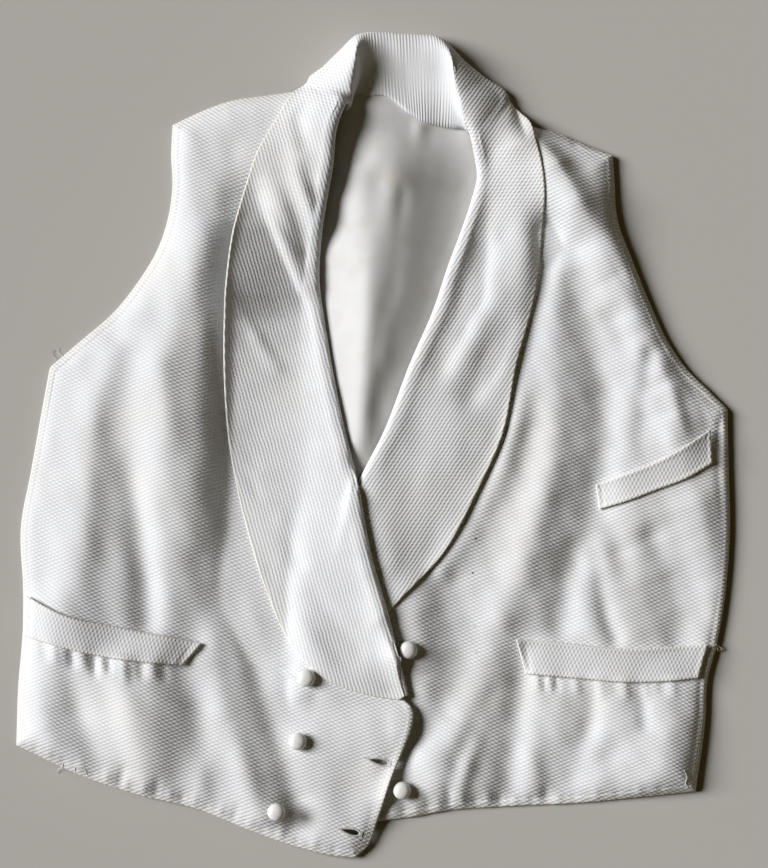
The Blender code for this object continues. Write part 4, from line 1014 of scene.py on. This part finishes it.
def collar(hand, stations, edge, roll, side, top_of, under_of, seed):
    """One half of the shawl collar, from the centre back to the lapel's tip, as a closed shell. The
    stand has ribs instead of diamonds. It returns the grid of its outer face."""
    name, columns = f"collar_{hand}", collar_columns()
    face = collar_face(stations, edge, roll, side, top_of, under_of, columns)
    normals = face_normals(face)
    normals[0, :, 0] = 0
    reach = run_along(face[:, 0])
    edge_gap = np.linalg.norm(face - face[:, :1], axis=-1)
    tip_gap = np.broadcast_to(np.abs(reach[-1] - reach)[:, None], edge_gap.shape)
    gap = np.where(columns > 8, tip_gap, np.minimum(edge_gap, tip_gap))
    outer, inner = rounded(np.full(gap.shape, COLLAR_SHOWN), np.zeros(gap.shape), gap, 1.0)
    base = face - COLLAR_SHOWN * normals
    wave = 0.35 * slack(face[..., :2], seed, 0.3) * smooth(gap, 2, 20)
    wave[: (len(stations) - 2) * STATION_ROWS] *= 0.4
    high = base + normals * (outer + wave * (columns < 12))[..., None]
    low = base + normals * inner[..., None]
    high[..., 2] = np.maximum(high[..., 2], 0.02)
    low[..., 2] = np.maximum(low[..., 2], 0.01)
    points, faces = shell(high, low)
    ribs = unrolled(high, int(np.searchsorted(columns, ROLL_COLUMNS[0])))
    ribs *= (0.02, ROW_SPACING / RIB_SPACING)
    ribs += (RIDGE_SPACING / 6, 0)  # where the weave is half as deep
    ribbed = np.zeros(high.shape[:2], bool)
    ribbed[: (len(stations) - 1) * STATION_ROWS, columns > 10.5] = True
    ribbed[:RIBBED_ROWS, columns > 8.4] = True
    ribbed = both(ribbed)[faces].all(axis=1)
    weave = both(woven(high[..., :2], name))[faces]
    weave[ribbed] = both(ribs)[faces[ribbed]]
    shown[name] = piece(name, points, faces, PIQUE, weave, edge_tone(gap, 1.0, 5))
    centre_back = np.arange(len(points)) % gap.size < len(columns)
    creased(shown[name], centre_back)
    return high


def button(name, x, y, surface):
    """A low round ball on a short foot, its profile turned about its axis, just over the highest place
    of a height map under its foot."""
    angle = np.linspace(0, 2 * math.pi, 25)
    foot = np.concatenate([r * np.stack([np.cos(angle), np.sin(angle)], -1) for r in (0, 2.5, 4.5)])
    base = over(foot + (x, y), surface).max() + 0.1
    rings = around = 36
    profile = curve_at(BUTTON_PROFILE, np.linspace(0, len(BUTTON_PROFILE) - 1, rings))
    profile[:, 0] = np.maximum(profile[:, 0], 0.01)
    angle = np.arange(around) * 2 * math.pi / around
    ring = np.stack([np.cos(angle), np.sin(angle)], -1)
    heights = np.broadcast_to(profile[:, 1, None, None], (rings, around, 1))
    points = np.concatenate([profile[:, 0, None, None] * ring[None], heights], axis=-1)
    points = points.reshape(-1, 3) + (x, y, base)
    shown[name] = piece(name, points, tube_quads(rings, around), GLASS)
    return points


# The wearer's left front, with its collar and buttons, then the right one over it.
left_low = np.maximum(left_bottom(left_plan), 0.1)
left_face = front("left", left_plan, left_low, LEFT_EDGES, LEFT_LAPEL_AREA, LEFT_GATHERS, LEFT_PUCKERS,
                  LEFT_HEM, 11, MARKED)
left_map = height_map(left_face)
left_top = lapel_top(left_bottom, LEFT_LAPEL_EDGE, LEFT_LAPEL_FOLDS, LEFT_LAPEL_PUFF, LEFT_LIFT)
left_collar = collar("left", LEFT_NECK_STATIONS, LEFT_LAPEL_EDGE, LEFT_ROLL, 1, left_top,
                     floor_of_fronts, 21)
left_buttons = [button(name, x, y, left_map) for name, hand, x, y in BUTTONS if hand == "left"]
below_neck = left_collar[60:]
beneath = height_map(left_face, below_neck, *left_buttons, spread=(9, 7, 5, 3, 2))


def under_right(xy):
    """What the right front and its collar lie on."""
    return np.maximum(floor_of_fronts(xy), over(xy, beneath))


def right_bottom(xy):
    """The right front's underside: its own puff and folds, over all that lies under it. Over the
    hidden button it has a wide bump, a bell of 60 and 26 mm across by 32 mm along."""
    floor = floor_of_fronts(xy)
    own = floor + puffed(xy, RIGHT_FREE, RIGHT_FOLDS, RIGHT_PUFF)
    way = xy - HIDDEN_BUTTON
    wide = np.where(way[..., 0] < 0, 60, 26)
    top = float(over(HIDDEN_BUTTON, beneath)) + 0.8
    bump = (top - RIGHT_STANDOFF - floor) * np.exp(-((way[..., 0] / wide) ** 2) - (way[..., 1] / 32) ** 2)
    least = floor + RIGHT_STANDOFF + np.maximum(bump, 0)
    below = np.maximum(over(xy, beneath) + 0.6, 0)
    return upper(upper(own, least, 2.0) - 0.3, below, 2.0)


right_face = front("right", right_plan, right_bottom(right_plan), RIGHT_EDGES, RIGHT_LAPEL_AREA,
                   RIGHT_GATHERS, RIGHT_PUCKERS, RIGHT_HEM, 12, PIQUE)
right_map = height_map(right_face)
right_top = lapel_top(right_bottom, RIGHT_LAPEL_EDGE, RIGHT_LAPEL_FOLDS, RIGHT_LAPEL_PUFF, RIGHT_LIFT)
collar("right", RIGHT_NECK_STATIONS, RIGHT_LAPEL_EDGE, RIGHT_ROLL, -1, right_top, under_right, 22)
for name, hand, x, y in BUTTONS:
    if hand == "right":
        button(name, x, y, right_map)

# The pocket welts, each from its panel's own upper face, smoothed.
for name, hand, top, bottom in WELTS:
    surface = {"right": right_map, "left": left_map}[hand]
    u, v = shares(70, 110), shares(30, 28)
    top, bottom = curve(top, u), curve(bottom, u)
    plan = top[:, None] * (1 - v[None, :, None]) + bottom[:, None] * v[None, :, None]
    ends = [np.stack([top[i], bottom[i]]) for i in (0, -1)]
    gap = np.minimum.reduce([near(plan, line)[0] for line in (top, bottom, *ends)])
    lie = over(plan, surface)
    for _ in range(6):
        wide = np.pad(lie, 1, mode="edge")
        lie = (wide[:-2, 1:-1] + wide[2:, 1:-1] + wide[1:-1, :-2] + wide[1:-1, 2:] + 2 * lie) / 6
    low = lie + 0.35 + 0.5 * (1 - smooth(near(plan, top)[0], 0, 10))
    high = low + WELT_THICK + 0.35 * np.exp(-(((gap - 1.5) / 1.6) ** 2))
    points, faces = shell(*(lifted(plan, z) for z in rounded(high, low, gap)))
    shown[name] = piece(name, points, faces, WELTED, both(woven(plan, name)), edge_tone(gap, 1.0, 4, 0.25))


def lying_on(face):
    """A function for the height of a grid of points at any (x, y): that of the nearest point, and the
    two slopes there, 1.5 at most, times the way from it, 2 mm at most."""
    flat = face.reshape(-1, 3)
    (xu, yu, zu), (xv, yv, zv) = (np.moveaxis(np.gradient(face, axis=i), -1, 0) for i in (0, 1))
    area = xu * yv - xv * yu
    area = np.where(np.abs(area) < 1e-3, 1e9, area)
    slopes = np.stack([(zu * yv - zv * yu) / area, (xu * zv - xv * zu) / area], -1).reshape(-1, 2)
    slopes = np.clip(slopes, -1.5, 1.5)

    def height(xy):
        """The height at each (x, y), found for 200 places at a time to save memory."""
        found = np.empty(len(xy), int)
        for start in range(0, len(xy), 200):
            part = xy[start : start + 200]
            gaps = (flat[:, 0] - part[:, :1]) ** 2 + (flat[:, 1] - part[:, 1:]) ** 2
            found[start : start + 200] = gaps.argmin(axis=1)
        way = np.clip(xy - flat[found, :2], -2, 2)
        return np.maximum(flat[found, 2] + (slopes[found] * way).sum(axis=1), 0.1)

    return height


def thread_faces(rings):
    """The faces of a thread: a tube of so many rings of six points, with two quads over each end."""
    last = 6 * (rings - 1)
    caps = [[3, 2, 1, 0], [5, 4, 3, 0], [last, last + 1, last + 2, last + 3],
            [last, last + 3, last + 4, last + 5]]
    return np.concatenate([tube_quads(rings, 6), caps])


def stitched(height, middles, along, length, radius):
    """The points of a row of stitches, each a short tube with closed ends that dips into the cloth at
    both. At t from -1 to 1 along it, its radius is the given one times the root of 1 - t squared, and
    it stands 0.12 mm times 1 - t squared higher."""
    t = np.array([-0.98, -0.8, -0.3, 0.3, 0.8, 0.98])
    along = along / np.linalg.norm(along, axis=1)[:, None]
    across = np.stack([-along[:, 1], along[:, 0]], 1)
    spine = middles[:, None] + along[:, None] * (t * (length / 2))[None, :, None]
    lift = height(spine.reshape(-1, 2)).reshape(len(middles), -1) + 0.12 * (1 - t**2) + 0.3 * radius
    wide = radius * np.sqrt(1 - t**2)[:, None]
    ring = spine[:, :, None] + across[:, None, None] * (wide * np.cos(HEXAGON))[None, ..., None]
    z = lift[:, :, None] + (wide * np.sin(HEXAGON))[None]
    return np.concatenate([ring, z[..., None]], -1).reshape(-1, 3)


def row_of(line, pitch, inset=0.0):
    """Even places along a line, moved sideways by inset, and the line's direction at each."""
    line = shifted(line, inset) if inset else line
    run = run_along(line)
    places = placed(np.arange(pitch, run[-1] - pitch / 2, pitch), run, line)
    return places, np.gradient(places, axis=0)


def sewn(name, rows, look):
    """One piece of many rows: (height function, places, directions, stitch length, thread radius)."""
    points = np.concatenate([stitched(*row) for row in rows])
    starts = np.arange(0, len(points), 36)
    return piece(name, points, (starts[:, None, None] + thread_faces(6)).reshape(-1, 4), look)


def strand(name, path, radius, look):
    """A loose thread: a ring of six points along a path of (x, y, z)."""
    line = curve(path, 40)
    along = np.gradient(line, axis=0)
    across = np.stack([-along[:, 1], along[:, 0], 0 * along[:, 0]], 1)
    across /= np.maximum(np.linalg.norm(across, axis=1), 1e-6)[:, None]
    up = np.cross(across, along / np.linalg.norm(along, axis=1)[:, None])
    ring = line[:, None] + radius * (
        across[:, None] * np.cos(HEXAGON)[None, :, None] + up[:, None] * np.sin(HEXAGON)[None, :, None]
    )
    return piece(name, ring.reshape(-1, 3), thread_faces(len(line))[:, [0, 3, 2, 1]], look)


def lens(start, end, width):
    """The outline of a buttonhole: pointed at its outer end and widest near the front edge. At shares
    t of its length its half width is half of width times 3.39 times t to the 1.4 times 1 - t to the
    0.6, which is 1 at its widest."""
    start, end = np.array(start, float), np.array(end, float)
    t = (1 - np.cos(np.linspace(0, math.pi, 24))) / 2
    across = np.array([-(end - start)[1], (end - start)[0]]) / np.linalg.norm(end - start)
    half = (width / 2 * 3.39 * t**1.4 * (1 - t) ** 0.6)[:, None] * across
    middle = start + t[:, None] * (end - start)
    return np.concatenate([middle - half, (middle + half)[-2:0:-1]])


# The two buttonholes, each cut right through the upper front by an upright prism.
scene = bpy.context.scene
opened = shown["front_right"]
for start, end in HOLES:
    hole = lens(start, end, HOLE_WIDTH)
    count = len(hole)
    prism = np.concatenate([lifted(hole, np.full(count, z)) for z in (-20.0, 60.0)])
    low_ring, high_ring = list(range(count)), list(range(count, 2 * count))
    walls = [(i, (i + 1) % count, (i + 1) % count + count, i + count) for i in range(count)]
    mesh = bpy.data.meshes.new("buttonhole")
    mesh.from_pydata(((prism - ORIGIN) * MM).tolist(), [], [low_ring[::-1], high_ring, *walls])
    cutter = bpy.data.objects.new("buttonhole", mesh)
    scene.collection.objects.link(cutter)
    step = opened.modifiers.new("buttonhole", "BOOLEAN")
    step.operation, step.solver, step.object = "DIFFERENCE", "EXACT", cutter
    bpy.context.view_layer.update()
    seen = opened.evaluated_get(bpy.context.evaluated_depsgraph_get())
    cut = bpy.data.meshes.new_from_object(seen)
    opened.modifiers.clear()
    opened.data = cut
    bpy.data.objects.remove(cutter)

# Sewing: rows along the turned edges and the welts, the worked buttonholes, and loose ends.
on_right, on_left = lying_on(right_face), lying_on(left_face)
on_front = {"right": on_right, "left": on_left}
rows = []
for height, line, inset in (
    (on_right, curve(RIGHT_ARMHOLE, 300), STITCH_INSET),
    (on_right, curve(RIGHT_HEM, 300), -STITCH_INSET),
    (on_right, curve(RIGHT_FRONT_EDGE, 120), -STITCH_INSET),
    (on_left, curve(LEFT_ARMHOLE, 300), -STITCH_INSET),
    (on_left, curve(LEFT_HEM, 300), STITCH_INSET),
    (on_left, curve(FACING_LINE, 60), 0),
    (on_left, curve(LEFT_SIDE, 200)[110:], -2.5),  # below the pocket
):
    places, along = row_of(line, 2.7, inset)
    rows.append((height, places, along, 1.7, 0.13))
for name, hand, top, bottom in WELTS:
    places, along = row_of(curve(bottom, 120), 2.4, -0.9)
    rows.append((on_front[hand], places, along, 1.4, 0.18))
stitches = sewn("stitches", rows, SEWING)
rows = []
for start, end in HOLES:
    ring = lens(start, end, HOLE_WIDTH + 1.6)
    places, along = row_of(np.concatenate([ring, ring[:1]]), 0.72)
    rows.append((on_right, places, np.stack([-along[:, 1], along[:, 0]], 1), 1.7, 0.3))
    way = (np.array(end, float) - start) / math.dist(start, end)
    bars = np.array(end, float) + way * np.linspace(-0.2, 1.4, 4)[:, None]
    rows.append((on_right, bars, np.tile([-way[1], way[0]], (4, 1)), HOLE_WIDTH + 0.8, 0.36))
worked = sewn("worked_buttonholes", rows, SEWING)
loose = []
for number, (path, radius, look) in enumerate(LOOSE_ENDS):
    path = np.array(path, float)
    path[:, 2] += on_front["left" if path[0, 0] > 0 else "right"](path[:, :2])
    loose.append(strand(f"loose_thread_{number + 1}", path, radius, {"white": SEWING, "tan": TAN}[look]))

# What stands for what, and the cut of each sheet: its sides in m and its area in square m.
for name, item in shown.items():
    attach(item, "root")
    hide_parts(name)
    if name.startswith("button"):
        continue
for item in (stitches, worked, *loose):
    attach(item, "root")

# The floor, of plain paper: an even pale grey that shows the shadow round the cloth.
bpy.ops.mesh.primitive_plane_add(size=6)
floor = bpy.context.object
floor.name = "floor"
paper, tree, shader = finish_of("pale matt paper", 0.9)
shader.inputs["Base Color"].default_value = linear("BAB6AF")
floor.data.materials.append(paper)

# The lights. The faint world is yellow, as the photograph's shadows are warm.
world = bpy.data.worlds.new("studio")
scene.world = world
world.use_nodes = True
background = world.node_tree.nodes["Background"]
background.inputs["Color"].default_value = linear("E2BE50")
background.inputs["Strength"].default_value = 0.03
scene.view_settings.view_transform = "Standard"


def sunlike(name, direction, spread, strength, colour):
    """An even light from far off, as from a large window across a room: spread is its width in
    degrees."""
    light = bpy.data.lights.new(name, "SUN")
    light.angle, light.energy, light.color = math.radians(spread), strength, colour
    made_light = bpy.data.objects.new(name, light)
    scene.collection.objects.link(made_light)
    made_light.location = direction
    made_light.rotation_euler = (-Vector(direction)).to_track_quat("-Z", "Y").to_euler()


sunlike("window", (-2.03, 0.43, 1.29), 30, 4.5, (0.97, 0.972, 1.0))
sunlike("fill", (1.4, -0.6, 1.8), 70, 0.05, (1.0, 0.8, 0.36))

# The camera, 2.2 m off and a little towards the hem from straight above.
camera = bpy.data.cameras.new("camera")
camera.sensor_fit = "VERTICAL"
camera.sensor_height = 24.0
camera.lens = 84.4
viewer = bpy.data.objects.new("camera", camera)
scene.collection.objects.link(viewer)
aim = Vector((0.0056, 0.0049, 0.01))
tilt = math.radians(86)
viewer.location = aim + 2.2 * Vector((0, -math.cos(tilt), math.sin(tilt)))
viewer.rotation_euler = (aim - viewer.location).to_track_quat("-Z", "Y").to_euler()
scene.camera = viewer
